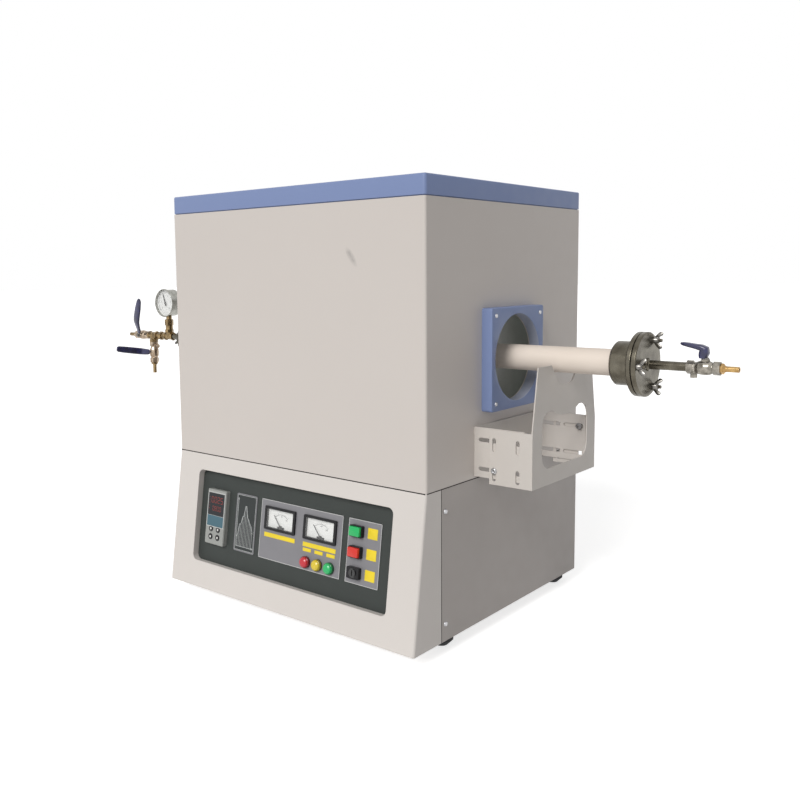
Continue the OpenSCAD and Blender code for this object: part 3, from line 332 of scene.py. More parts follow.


# The turned steel's dark olive-brown colour and its brown patches stand for the brownish reflections on the
# real end plates: painted reflection.
turned_steel = metal("turned stainless", (0.17, 0.156, 0.124), (0.08, 0.07, 0.053), 0.26, 45, 240,
                     0.25, 0.0014, (9, 0.5, 0.5))
bright_steel = metal("bright steel", (0.27, 0.26, 0.245), (0.09, 0.085, 0.075), 0.24, 130, 500, 0.2)
zinc_steel = metal("zinc plated steel", (0.52, 0.52, 0.53), (0.40, 0.40, 0.41), 0.34, 120, 700, 0.1)
nickel = metal("nickel plate", (0.42, 0.39, 0.34), (0.13, 0.12, 0.10), 0.27, 150, 420, 0.4, 0.0009)
warm_nickel = metal("worn nickel", (0.60, 0.50, 0.39), (0.24, 0.165, 0.105), 0.27, 150, 420, 0.4, 0.0009)
brass = metal("brass", (0.62, 0.42, 0.18), (0.34, 0.2, 0.075), 0.26, 110, 420, 0.3, 0.0008)
aged_brass = metal("aged brass", (0.40, 0.28, 0.14), (0.115, 0.085, 0.05), 0.28, 150, 420, 0.3, 0.0008)
liner_steel = Finish("oxidised liner", (0.56, 0.56, 0.54), 0.7, Emission_Color=(0.9, 1, 0.92, 1),
                     Emission_Strength=0.035)
liner_steel.mottle(liner_steel.noise(20, 4), (0.42, 0.41, 0.39))
liner_steel.relief(liner_steel.noise(300, 3), 0.2, 0.0002)
iron = metal("iron core", (0.20, 0.17, 0.14), (0.12, 0.10, 0.08), 0.5, 60, 900, 0.2, stretch=(1, 6, 1))
heat_sink = metal("aluminium", (0.60, 0.61, 0.62), (0.50, 0.51, 0.52), 0.35, 60, 500, 0.1)
paint_nodes(turned_steel, "tube_flanges", "end_plate_right", "end_plate_left")
paint_nodes(zinc_steel, "case_screws")
paint_nodes(nickel, "valve_right")
paint_nodes(warm_nickel, "valves_left")
paint_nodes(brass, "barb_right")
paint_nodes(aged_brass, "gas_train_left")
paint_nodes(liner_steel, "liner")
paint_nodes(iron, "transformer")
paint_nodes(heat_sink, "power_controller")

# %% Ceramics and seals
alumina = Finish("fired alumina", (0.86, 0.765, 0.68), 0.5, Specular_IOR_Level=0.4)
alumina.mottle(alumina.noise(18, 4, (0.4, 1, 1)), (0.80, 0.70, 0.61), 0.7)
alumina.relief(alumina.noise(380, 3), 0.12, 0.0001, 0.0012)
fibre = Finish("ceramic fibre", (0.84, 0.82, 0.77), 0.95)
fibre.mottle(fibre.noise(60, 6), (0.74, 0.71, 0.65))
fibre.relief(fibre.noise(240, 8), 0.6, 0.0008)
hot_rod = Finish("heating element", (0.19, 0.19, 0.20), 0.6, 0.4)
hot_rod.mottle(hot_rod.noise(90, 4), (0.33, 0.32, 0.31))
hot_rod.relief(hot_rod.noise(500, 3), 0.2, 0.0002)
sheath = Finish("thermocouple sheath", (0.62, 0.54, 0.38), 0.55)
sheath.mottle(sheath.noise(100, 4), (0.50, 0.43, 0.31))
silicone = moulded("red silicone", (0.42, 0.065, 0.03), 0.6, 700)
paint_nodes(alumina, "work_tube")
paint_nodes(fibre, "insulation_lower", "insulation_upper")
paint_nodes(hot_rod, "heating_elements")
paint_nodes(sheath, "thermocouple")
paint_nodes(silicone, "seal_rings")
print("finishes so far:", len(bpy.data.materials))

# %% [markdown]
# ## From a bmesh to a piece
# Each new piece is a bmesh that is turned into a mesh object at the origin. It rides on the body that
# carries it, names the solids it stands for, and takes smooth shading with sharp edges kept where the
# real one has a crease.

# %% Piece helper
MM = 0.001
MERGE = 1e-7  # metres; points nearer than this are welded


def piece(name, bm, finish, body="furnace", stands_for=(), crease=32):
    bmesh.ops.remove_doubles(bm, verts=bm.verts, dist=MERGE)
    bmesh.ops.recalc_face_normals(bm, faces=bm.faces)
    mesh = bpy.data.meshes.new(name)
    bm.to_mesh(mesh)
    bm.free()
    for one in finish if isinstance(finish, list) else [finish]:
        mesh.materials.append(one.material)
    mesh.shade_smooth()
    mesh.set_sharp_from_angle(angle=radians(crease))
    made = bpy.data.objects.new(name, mesh)
    scene.collection.objects.link(made)
    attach(made, body)
    if stands_for:
        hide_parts(*stands_for)
    print(f"{name}: {len(mesh.polygons)} faces on {body}")


def eased_block(size, corner, ease, lift=0.0, corner_steps=6, ease_steps=3):
    """A block that stands at height lift, with its upright edges and its upper rim rounded."""
    block = bmesh.new()
    bmesh.ops.create_cube(block, size=1, matrix=Matrix.Diagonal((*size, 1)))
    upright = [e for e in block.edges if abs(e.verts[0].co.z - e.verts[1].co.z) > size[2] / 2]
    bmesh.ops.bevel(block, geom=upright, offset=corner, segments=corner_steps, profile=0.5,
                    affect="EDGES", material=-1)
    lid = max(block.faces, key=lambda f: f.calc_center_median().z)
    if ease:
        bmesh.ops.bevel(block, geom=list(lid.edges), offset=ease, segments=ease_steps, profile=0.5,
                        affect="EDGES", material=-1)
    bmesh.ops.translate(block, vec=(0, 0, lift + size[2] / 2), verts=block.verts)
    return block


def join(into, part, matrix=None):
    """Adds one bmesh to another, moved by a matrix."""
    if matrix is not None:
        bmesh.ops.transform(part, matrix=matrix, verts=part.verts)
    carrier = bpy.data.meshes.new("carrier")
    part.to_mesh(carrier)
    part.free()
    into.from_mesh(carrier)
    bpy.data.meshes.remove(carrier)


def turned(profile, steps):
    """A profile of (radius, height) in millimetres, spun about Z."""
    form = bmesh.new()
    points = [form.verts.new((r * MM, 0, z * MM)) for r, z in profile]
    for a, b in zip(points, points[1:]):
        form.edges.new((a, b))
    bmesh.ops.spin(form, geom=form.verts[:] + form.edges[:], cent=(0, 0, 0), axis=(0, 0, 1),
                   angle=tau, steps=steps, use_merge=True, use_duplicate=False)
    bmesh.ops.remove_doubles(form, verts=form.verts, dist=MERGE)
    bmesh.ops.recalc_face_normals(form, faces=form.faces)
    return form


def push(form, faces, by):
    """Extrudes faces and moves the new end of the extrusion."""
    grown = bmesh.ops.extrude_face_region(form, geom=faces)
    fresh = [v for v in grown["geom"] if isinstance(v, bmesh.types.BMVert)]
    bmesh.ops.translate(form, vec=by, verts=fresh)


# %% [markdown]
# ## Top cover
# The cover is a shallow folded tray with rounded edges, and a dark shadow line shows where it rests
# on the case. A box with two bevels gives the rounding; an inset and a short extrusion downwards make
# the step of the shadow line.

# %% Top cover
cover_low, cover_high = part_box("top_cover")
cover_size = cover_high - cover_low
gap, inset = 1.4 * MM, 2.2 * MM
cover = eased_block((cover_size.x, cover_size.y, cover_size.z - gap), 5 * MM, 2.5 * MM,
                    lift=cover_low.z + gap)
under = min(cover.faces, key=lambda f: f.calc_center_median().z)
bmesh.ops.inset_region(cover, faces=[under], thickness=inset, use_even_offset=True)
push(cover, [under], (0, 0, -gap))
bmesh.ops.delete(cover, geom=[under], context="FACES")
piece("cover", cover, blue_coat, stands_for=["top_cover"])

# %% [markdown]
# ## Joint lines
# Sheet metal boxes that meet leave a narrow gap that lies in shade. Thin dark strips, a hair proud of
# the faces, are that shade painted on: they draw the seam round the case and the upright joint of the
# front shell on both sides.

# %% Joint lines
gap_dark = moulded("joint shadow", (0.045, 0.042, 0.040), 0.9, 1200, 0.0, Specular_IOR_Level=0.05)
case_low, case_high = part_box("upper_case")
SIDE_X, SEAM_Z, CABINET_Z, JOINT_Y = 275 * MM, 256 * MM, 22 * MM, -197 * MM
PROUD, HALF_LINE = 0.15 * MM, 0.6 * MM
joints = bmesh.new()


def strip(lowest, highest):
    lowest, highest = Vector(lowest), Vector(highest)
    middle = Matrix.Translation((lowest + highest) / 2)
    bar = bmesh.new()
    bmesh.ops.create_cube(bar, size=1, matrix=middle @ Matrix.Diagonal((*(highest - lowest), 1)))
    join(joints, bar)


for side in (1, -1):
    inner, outer = sorted((side * (SIDE_X - 0.2 * MM), side * (SIDE_X + PROUD)))
    strip((inner, case_low.y + 2 * MM, SEAM_Z - 0.9 * MM), (outer, case_high.y - 2 * MM, SEAM_Z + 0.5 * MM))
    strip((inner, JOINT_Y - HALF_LINE, CABINET_Z), (outer, JOINT_Y + HALF_LINE, SEAM_Z))
for y in (case_low.y, case_high.y):
    strip((2 * MM - SIDE_X, y - PROUD, SEAM_Z - 1.2 * MM), (SIDE_X - 2 * MM, y + PROUD, SEAM_Z + HALF_LINE))
piece("joint_lines", joints, gap_dark)

# %% [markdown]
# ## Port collars
# A thick blue plate frames each port. It is a rounded square with a round hole. Filling the space
# between two closed loops gives the flat face, an extrusion gives the thickness, and bevels ease the
# outer rim and the lip of the hole. The walls of the hole take a paler, greyer copy of the blue: painted
# light for the brightly lit far wall of the hole.

# %% Port collars
TUBE_Y, TUBE_Z = -8 * MM, 437 * MM
COLLAR_HALF, COLLAR_T, PORT_R = 80 * MM, 18 * MM, 69 * MM
# The hole walls' paler blue-grey is painted light: the same powder coat, lightened as if lit.
hole_wall_painted_lit = powder_coat("port hole wall painted lit", (0.40, 0.44, 0.56), (0.34, 0.37, 0.46))


def along_tube(x, side, off_y=0.0, off_z=0.0):
    """Local +Z points away from the body along the tube."""
    place = Matrix.Translation((side * x, TUBE_Y + off_y, TUBE_Z + off_z))
    return place @ Matrix.Rotation(side * pi / 2, 4, "Y")


def collar():
    plate = bmesh.new()
    bmesh.ops.create_grid(plate, x_segments=1, y_segments=1, size=COLLAR_HALF)
    bmesh.ops.bevel(plate, geom=plate.verts[:], offset=4 * MM, segments=5, profile=0.5,
                    affect="VERTICES", material=-1)
    bmesh.ops.delete(plate, geom=plate.faces[:], context="FACES_ONLY")
    bmesh.ops.create_circle(plate, segments=128, radius=PORT_R)
    bmesh.ops.triangle_fill(plate, edges=plate.edges[:], use_beauty=True)
    push(plate, plate.faces[:], (0, 0, COLLAR_T))
    plate.normal_update()
    rim = [e for e in plate.edges if all(v.co.z > COLLAR_T / 2 for v in e.verts)
           and any(abs(f.normal.z) < 0.5 for f in e.link_faces)]
    bmesh.ops.bevel(plate, geom=rim, offset=1.2 * MM, segments=3, profile=0.5, affect="EDGES", material=-1)
    # Faces of the hole wall take the second finish, the copy of the blue that is painted as lit.
    for wall in plate.faces:
        in_hole = wall.calc_center_median().to_2d().length < PORT_R + 0.1 * MM
        wall.material_index = int(abs(wall.normal.z) < 0.5 and in_hole)
    return plate


collars = bmesh.new()
for side in (1, -1):
    join(collars, collar(), along_tube(SIDE_X, side))
piece("collars", collars, [blue_coat, hole_wall_painted_lit], stands_for=["port_collars"])

# %% [markdown]
# ## Wing nuts
# A wing nut is a small tapered hub with two rounded ears. The hub is a turned profile. Each ear is an
# outline extruded to its thickness and bevelled until it looks cast.

# %% Wing nuts
HUB = [(2.7, 0), (5, 0), (5, 1.5), (4.2, 7.4), (3.6, 8), (2.7, 8), (2.7, 0)]
EAR = [(3.2, 1.6), (5.2, 1.2), (9.8, 5.2), (12.6, 8.4), (12.4, 11.2), (10.2, 13), (7.6, 12.2), (5.6, 8.6),
       (3.2, 7.2)]
EAR_T = 2.6 * MM


def wing_nut():
    nut = turned(HUB, 32)
    for ear in (1, -1):
        leaf = bmesh.new()
        leaf.faces.new([leaf.verts.new((ear * x * MM, -EAR_T / 2, z * MM)) for x, z in EAR])
        push(leaf, leaf.faces[:], (0, EAR_T, 0))
        bmesh.ops.recalc_face_normals(leaf, faces=leaf.faces)
        bmesh.ops.bevel(leaf, geom=leaf.edges[:], offset=0.7 * MM, segments=3, profile=0.5,
                        affect="EDGES", material=-1)
        join(nut, leaf)
    return nut


# Where each nut sits round the end plate, and how far it happens to be turned, in degrees.
STUDS = {"top": (60, 20), "front": (180, 75), "low": (300, 130)}
STUD_CIRCLE, PLATE_FACE = 39 * MM, 504 * MM
for side, tag in ((1, "right"), (-1, "left")):
    for stud, (angle, spun) in STUDS.items():
        off_y, off_z = STUD_CIRCLE * cos(radians(angle)), STUD_CIRCLE * sin(radians(angle))
        turn = Matrix.Rotation(side * radians(90 + angle + spun), 4, "Z")
        nut = wing_nut()
        bmesh.ops.transform(nut, matrix=along_tube(PLATE_FACE, side, off_y, off_z) @ turn, verts=nut.verts)
        name = f"wing_nut_{tag}_{stud}"
        piece(name + "_cast", nut, bright_steel, body=name, stands_for=[name], crease=50)

# %% [markdown]
# ## Working on the sloped panel
# Everything on the control panel lies in planes parallel to the slope. A matrix whose second column
# runs up the slope and whose third column points outwards lets each piece be drawn flat, in
# millimetres, and then be laid on the panel: x across, s down from the slope's upper edge, n outwards.

# %% Panel helpers
# The front leans out by FRONT_OUT over the height FRONT_H, from the case's front face down.
CASE_Y, FRONT_OUT, FRONT_H = -235 * MM, 32.6, 234
UP_SLOPE = Vector((0, FRONT_OUT, FRONT_H)).normalized()
ACROSS = Vector((1, 0, 0))
OUTWARDS = ACROSS.cross(UP_SLOPE)


def panel(x, s, n=0.0):
    place = Matrix((ACROSS, UP_SLOPE, OUTWARDS)).transposed().to_4x4()
    place.translation = Vector((x * MM, CASE_Y, SEAM_Z)) + (OUTWARDS * n - UP_SLOPE * s) * MM
    return place


def at(point):
    """A shift across a flat drawing, in millimetres."""
    return Matrix.Translation((*(point * MM), 0))


def lifted(matrix, height):
    """The same place, moved along its own axis by a height in millimetres."""
    return matrix @ Matrix.Translation((0, 0, height * MM))


def tinted(into, part, colour, matrix):
    """Adds a part whose faces all take one of the piece's finishes, by its number."""
    for face in part.faces:
        face.material_index = colour
    join(into, part, matrix)


def on_panel(into, x, s, n, w, h, t, corner, ease=0.0, colour=0):
    """A small rounded sheet laid on the panel, centred on (x, s), from n to n + t."""
    sheet = eased_block((w * MM, h * MM, t * MM), corner * MM, ease * MM, corner_steps=4, ease_steps=2)
    tinted(into, sheet, colour, panel(x, s, n))


def outlined(into, x, s, n, w, h, line, t):
    """A thin raised line round a rectangle."""
    for dx in (-1, 1):
        on_panel(into, x + dx * (w - line) / 2, s, n, line, h, t, line * 0.2)
    for ds in (-1, 1):
        on_panel(into, x, s + ds * (h - line) / 2, n, w, line, t, line * 0.2)


def stroke(into, start, end, width, t, matrix, colour=0):
    """A straight printed line between two points of a flat drawing, in millimetres."""
    a, b = Vector(start), Vector(end)
    line = bmesh.new()
    size = Matrix.Diagonal(((b - a).length * MM + width * MM, width * MM, t * MM, 1))
    bmesh.ops.create_cube(line, size=1, matrix=size)
    middle = Matrix.Translation((*((a + b) / 2 * MM), t / 2 * MM))
    turn = Matrix.Rotation(atan2(b.y - a.y, b.x - a.x), 4, "Z")
    tinted(into, line, colour, matrix @ middle @ turn)


def disc(into, radius, t, matrix, colour=0, steps=32, ease=0.0):
    """A round plate from 0 to t, or a hexagon with steps of 6, with its upper rim cut off by ease."""
    rim = [(radius, t - ease), (radius - ease, t)] if ease else [(radius, t)]
    tinted(into, turned([(0, 0), (radius, 0), *rim, (0, t)], steps), colour, matrix)


def arc_line(into, radius, width, t, start, end, matrix, colour=0, steps=28):
    """A curved printed line, spun from a short edge. Angles are clock angles in degrees."""
    line = bmesh.new()
    line.edges.new([line.verts.new((0, r * MM, 0)) for r in (radius - width / 2, radius + width / 2)])
    first = Matrix.Rotation(-radians(start), 3, "Z")
    bmesh.ops.rotate(line, verts=line.verts, cent=(0, 0, 0), matrix=first)
    bmesh.ops.spin(line, geom=line.verts[:] + line.edges[:], cent=(0, 0, 0), axis=(0, 0, 1),
                   angle=-radians(end - start), steps=steps, use_duplicate=False)
    push(line, line.faces[:], (0, 0, t * MM))
    bmesh.ops.recalc_face_normals(line, faces=line.faces)
    tinted(into, line, colour, matrix)


def clock(angle, radius):
    """A point of a flat drawing, by its clock angle in degrees."""
    return Vector((sin(radians(angle)), cos(radians(angle)))) * radius


def written(into, text, height, t, matrix, colour):
    """Small figures: a font curve turned into a mesh, centred on the matrix's origin."""
    curve = bpy.data.curves.new(text, "FONT")
    curve.body, curve.size, curve.extrude = text, height * 1.4 * MM, t / 2 * MM
    curve.align_x, curve.align_y, curve.resolution_u = "CENTER", "CENTER", 3
    holder = bpy.data.objects.new(text, curve)
    mesh = bpy.data.meshes.new_from_object(holder)
    letters = bmesh.new()
    letters.from_mesh(mesh)
    bpy.data.objects.remove(holder)
    bpy.data.curves.remove(curve)
    bpy.data.meshes.remove(mesh)
    tinted(into, letters, colour, lifted(matrix, t / 2))


PLATE_S, PLATE_N = 108, -11.0
pale = moulded("pale edge", (0.60, 0.60, 0.60), 0.45, 1600, 0.0)
white_print = moulded("white print", (0.62, 0.64, 0.64), 0.5, 1600, 0.0)
film_dark = moulded("dark film", (0.040, 0.046, 0.046), 0.4, 1600, 0.0, Specular_IOR_Level=0.2)
label_yellow = moulded("label yellow", (0.93, 0.71, 0.03), 0.45, 1600, 0.0002)
print("panel origin", tuple(round(v, 4) for v in panel(0, 0).translation))

# %% [markdown]
# ## Plates on the panel
# Each plate has a pale printed edge. The left one carries a dark film with a stepped heating curve:
# two axes with arrow heads, the curve and thin drop lines under it. The other two carry bare yellow
# label plates beside the lamps, the meters and the buttons.

# %% Plates and labels
plate_lines = bmesh.new()
for x, w in ((24.7, 181), (159.7, 65)):
    outlined(plate_lines, x, PLATE_S, PLATE_N, w, 99, 0.9, 0.12)
piece("plate_edges", plate_lines, pale)

CURVE_X, CURVE_N = -102.8, PLATE_N + 0.1
film = bmesh.new()
on_panel(film, CURVE_X, PLATE_S, PLATE_N, 46.5, 95.5, 0.12, 1.5)
piece("curve_film", film, film_dark)

# The drawing has its origin in the film's centre, in millimetres.
HEATING = [(-20, -26), (-17, -20), (-14, -3), (-11, -3), (-7, 11), (-5, 11), (-1.5, 29), (1, 29), (5, 10),
           (8.5, 6), (11, 1), (15, -4), (18.5, -15)]
LEFT, BOTTOM, TOP, RIGHT = -20, -41, 40, 20
ARROWS = {(-20, 42): ((-21.4, 38.5), (-18.6, 38.5)), (21.5, -41): ((18, -42.4), (18, -39.6))}
DROPS, DROP_PITCH = 11, 3.5
curve = bmesh.new()
drawn = panel(CURVE_X, PLATE_S, CURVE_N)
outlined(curve, CURVE_X, PLATE_S, CURVE_N, 45.5, 94.5, 0.55, 0.1)
legs = list(zip(HEATING, HEATING[1:]))
for start, end in legs:
    stroke(curve, start, end, 0.9, 0.1, drawn)
for i in range(DROPS):
    x = -17.6 + DROP_PITCH * i
    (ax, ay), (bx, by) = next((a, b) for a, b in legs if a[0] <= x <= b[0])
    stroke(curve, (x, ay + (by - ay) * (x - ax) / (bx - ax)), (x, BOTTOM), 0.55, 0.1, drawn)
for end in ((LEFT, TOP), (RIGHT, BOTTOM)):
    stroke(curve, (LEFT, BOTTOM), end, 0.7, 0.1, drawn)
for tip, barbs in ARROWS.items():
    for barb in barbs:
        stroke(curve, tip, barb, 0.5, 0.1, drawn)
piece("curve_lines", curve, white_print)

METER_XS, LAMP_XS, BUTTON_SS = (-19.8, 69.2), (43.7, 69.2, 94.7), (76, 108, 140)
METER_S, LAMP_S, BUTTON_X = 88, 144.5, 146.7
labels = bmesh.new()
# Each label plate is (x, s, width, height).
spots = [(x, 116.6, 70.4, 7.2) for x in METER_XS]
spots += [(x, 125.15, 17.5, 5.5) for x in LAMP_XS]
spots += [(175.6, s, 19, 16.5) for s in BUTTON_SS]
for x, s, w, h in spots:
    on_panel(labels, x, s, PLATE_N, w, h, 0.5, 0.5, 0.15)
piece("label_plates", labels, label_yellow)

# %% [markdown]
# ## Temperature controller
# The face of the instrument is one printed film: a silver border, a dark window above and a blue-green
# strip below. Two rows of seven-segment figures glow dimly behind the window. The round keys are
# black rings with pale centres, and each rides on its own body.

# %% Controller
glass_dark = Finish("display glass", (0.012, 0.014, 0.018), 0.12, Specular_IOR_Level=0.3)
teal = moulded("teal strip", (0.045, 0.13, 0.175), 0.3, 1600, 0.0)
silver_film = moulded("silver film", (0.52, 0.53, 0.52), 0.4, 1600, 0.0)
led_red = Finish("figures", (0.20, 0.02, 0.015), 0.4, Emission_Color=(1, 0.08, 0.04, 1),
                 Emission_Strength=0.13)
CONTROLLER_X, CONTROLLER_N, WINDOW_N = -171, -3.0, -2.7
KEYS = {"key_set": (-180, 129), "key_shift": (-162, 129), "key_down": (-180, 143), "key_up": (-162, 143)}
printed = bmesh.new()
on_panel(printed, CONTROLLER_X, 95, CONTROLLER_N, 44.5, 62, 0.3, 1.2, 0.1, 0)
on_panel(printed, CONTROLLER_X, 85.6, WINDOW_N, 41, 39, 0.12, 0.8, 0, 1)
on_panel(printed, CONTROLLER_X, 115, WINDOW_N, 41, 18.6, 0.12, 0.8, 0, 2)
for x, s in KEYS.values():
    arc_line(printed, 4.8, 1.3, 0.12, 0, 360, panel(x, s, CONTROLLER_N), 1, 40)
piece("controller_film", printed, [silver_film, glass_dark, teal], stands_for=["display_windows"])

# Each figure is a string of segments, and each segment is a line in a unit cell.
SEGMENTS = {"a": ((0.1, 1), (0.9, 1)), "b": ((1, 0.9), (1, 0.6)), "c": ((1, 0.4), (1, 0.1)),
            "d": ((0.1, 0), (0.9, 0)), "e": ((0, 0.4), (0, 0.1)), "f": ((0, 0.9), (0, 0.6)),
            "g": ((0.1, 0.5), (0.9, 0.5))}
FIGURES = {"0": "abcdef", "2": "abged", "5": "afgcd", "8": "abcdefg"}
ROWS = ((78, 10, "0025"), (93, 7.5, "0800"))
FIGURE_N = CONTROLLER_N + 0.4
figures = bmesh.new()
for s, height, number in ROWS:
    width, pitch = height * 0.5, height * 0.78
    for i, digit in enumerate(number):
        left = CONTROLLER_X + (i - 1.5) * pitch - width / 2 + 2
        base = panel(left, s + height / 2, FIGURE_N)
        for (ax, ay), (bx, by) in (SEGMENTS[segment] for segment in FIGURES[digit]):
            stroke(figures, (ax * width, ay * height), (bx * width, by * height), height * 0.08, 0.08, base)
for s in range(74, 95, 5):
    disc(figures, 0.6, 0.1, panel(CONTROLLER_X - 17.2, s, FIGURE_N), steps=12)
piece("controller_figures", figures, led_red)

key_cap = moulded("key cap", (0.72, 0.72, 0.70), 0.4, 1200, 0.0)
KEY_RING = [(0, 0), (3.6, 0), (3.6, 2.5), (3.3, 2.8), (2, 2.8), (1.8, 2.6)]
KEY_N = -5
for name, (x, s) in KEYS.items():
    key = bmesh.new()
    tinted(key, turned(KEY_RING, 32), 0, panel(x, s, KEY_N))
    disc(key, 2.2, 2.95, panel(x, s, KEY_N), 1, 32, 0.3)
    piece(name + "_cap", key, [black_plastic, key_cap], body=name, stands_for=[name])

# %% [markdown]
# ## Panel meters
# A moving-coil meter shows a white dial with an arc, ticks and a few figures behind a clear window.
# Its needle turns about a point low on the dial, and a dark cover hides the movement there.

# %% Meters
dial_white = moulded("dial white", (0.90, 0.91, 0.90), 0.5, 1600, 0.0)
clear = Finish("clear window", (1, 1, 1), 0.05, Alpha=0.07, Specular_IOR_Level=0.3)
PIVOT_S, DIAL_N, GLASS_N = 100.5, -13.0, -9
SWING, ARC_R, TICKS = 42, 20.5, 20
dials, windows = bmesh.new(), bmesh.new()
for x, numbers in zip(METER_XS, (("0", "10", "20"), ("0", "100", "200"))):
    on_panel(dials, x, METER_S, DIAL_N, 59.6, 30.6, 0.15, 0.3, 0, 0)
    centre = panel(x, PIVOT_S, DIAL_N + 0.15)
    arc_line(dials, ARC_R, 0.4, 0.08, -SWING, SWING, centre, 1)
    for i in range(TICKS + 1):
        angle = SWING * (2 * i / TICKS - 1)
        outer, width = (23.4, 0.3) if i % 5 == 0 else (22, 0.16)
        stroke(dials, clock(angle, ARC_R), clock(angle, outer), width, 0.08, centre, 1)
    for number, angle in zip(numbers, (-SWING, 0, SWING)):
        written(dials, number, 2.4, 0.08, centre @ at(clock(angle, 17.6)), 1)
    on_panel(dials, x, 101.6, DIAL_N + 0.1, 16, 3.4, 0.9, 1.2, 0.2, 2)
    disc(dials, 2.6, 3.3, centre, 2, 24, 0.4)
    on_panel(windows, x, METER_S, GLASS_N, 66, 35, 0.9, 1, 0.2)
piece("meter_dials", dials, [dial_white, ink, black_plastic])
piece("meter_windows", windows, clear)

# %% [markdown]
# ## Lamps, buttons and lock
# A pilot lamp is a clear-coated drum with a faceted crown, which a profile spun in twelve steps gives.
# The push button caps are small blocks with eased rims; the lock stays as machined.

# %% Lamps and buttons
DRUM = [(0, 0), (9.4, 0), (9.4, 3.2), (9.1, 3.8), (8.5, 4.1)]
CROWN = [(8.6, 4.0), (7.6, 6.4), (5.0, 8.0), (0, 8.6)]
LAMP_N, CAP_N = -9.4, -5.8
LENSES = {"lamp_red": ((0.50, 0.014, 0.028), "lens_red"),
          "lamp_yellow": ((0.66, 0.50, 0.03), "lens_yellow"),
          "lamp_green": ((0.012, 0.42, 0.12), "lens_green")}
for x, (name, (colour, slot)) in zip(LAMP_XS, LENSES.items()):
    # Each lens also glows faintly in its own colour: painted light, in place of the light that the
    # translucent plastic gathers and scatters.
    glass = Finish(name + " glass", colour, 0.3, Coat_Weight=0.2, Coat_Roughness=0.12,
                   Emission_Color=(*colour, 1), Emission_Strength=0.12)
    rim = Finish(name + " rim", tuple(c * 0.45 for c in colour), 0.2)
    lens = bmesh.new()
    tinted(lens, turned(DRUM, 48), 1, panel(x, LAMP_S, LAMP_N))
    tinted(lens, turned(CROWN, 12), 0, panel(x, LAMP_S, LAMP_N))
    piece(name + "_lens", lens, [glass, rim], stands_for=[name], crease=18)

CAPS = {"start_button": ((0.013, 0.50, 0.135), "cap_green"), "stop_button": ((0.74, 0.034, 0.022), "cap_red")}
for s, (name, (colour, slot)) in zip(BUTTON_SS, CAPS.items()):
    cap = bmesh.new()
    on_panel(cap, BUTTON_X, s, CAP_N, 20.7, 14.7, 6.3, 1.6, 1.3)
    plastic = moulded(name + " plastic", colour, 0.22, 1400, 0.0)
    piece(name + "_cap", cap, plastic, body=name, stands_for=[name])
glossy_black = Finish("glossy black", (0.01, 0.01, 0.011), 0.12, Coat_Weight=0.4)
paint_nodes(glossy_black, "lock_barrel")

# %% [markdown]
# ## Valve levers
# A valve lever is a steel strip dipped in vinyl. It is lofted: rounded sections are placed along a
# bent path, square to it, and bridged. The last section is small, which rounds the tip. A steel hub
# and a nut hold it on the stem, and the whole piece turns with its body.

# %% Levers
vinyl = Finish("blue vinyl", (0.034, 0.036, 0.135), 0.3, Coat_Weight=0.35, Coat_Roughness=0.15)
vinyl.mottle(vinyl.noise(90, 3), (0.016, 0.017, 0.05))
RING_STEPS, SQUARENESS = 28, 2.8


def lofted(sections):
    """Sections are (r, h, half width, half thickness, direction angle) in millimetres and degrees."""
    form, before = bmesh.new(), None
    for i, (r, h, wide, thick, angle) in enumerate(sections):
        ends = i in (0, len(sections) - 1)
        ring = bmesh.ops.create_circle(form, cap_ends=ends, segments=RING_STEPS, radius=1)["verts"]
        for v in ring:
            v.co.x = copysign(abs(v.co.x) ** (2 / SQUARENESS) * wide * MM, v.co.x)
            v.co.y = copysign(abs(v.co.y) ** (2 / SQUARENESS) * thick * MM, v.co.y)
        along = Vector((cos(radians(angle)), 0, sin(radians(angle))))
        across = Vector((0, 1, 0))
        place = Matrix((across, along.cross(across), along)).transposed().to_4x4()
        place.translation = Vector((r, 0, h)) * MM
        bmesh.ops.transform(form, matrix=place, verts=ring)
        edges = [e for e in form.edges if all(v in ring for v in e.verts)]
        if before:
            bmesh.ops.bridge_loops(form, edges=before + edges)
        before = edges
    bmesh.ops.recalc_face_normals(form, faces=form.faces)
    return form


def lever(body, sections, origin, grip, stem):
    """A grip that points along grip, on a hub, a nut and a spindle whose axis is stem."""
    grip, stem = Vector(grip).normalized(), Vector(stem).normalized()
    place = Matrix((grip, stem.cross(grip), stem)).transposed().to_4x4()
    place.translation = Vector(origin) * MM
    form = bmesh.new()
    tinted(form, lofted(sections), 0, place)
    disc(form, 5.2, 2.4, lifted(place, -0.4), 1, 32, 0.4)
    disc(form, 3.4, 3.2, lifted(place, 1.8), 1, 6, 0.4)
    disc(form, 2.2, 12.0, lifted(place, -10.8), 1, 24)
    piece(body + "_grip", form, [vinyl, bright_steel], body=body, stands_for=[body],
          crease=40)


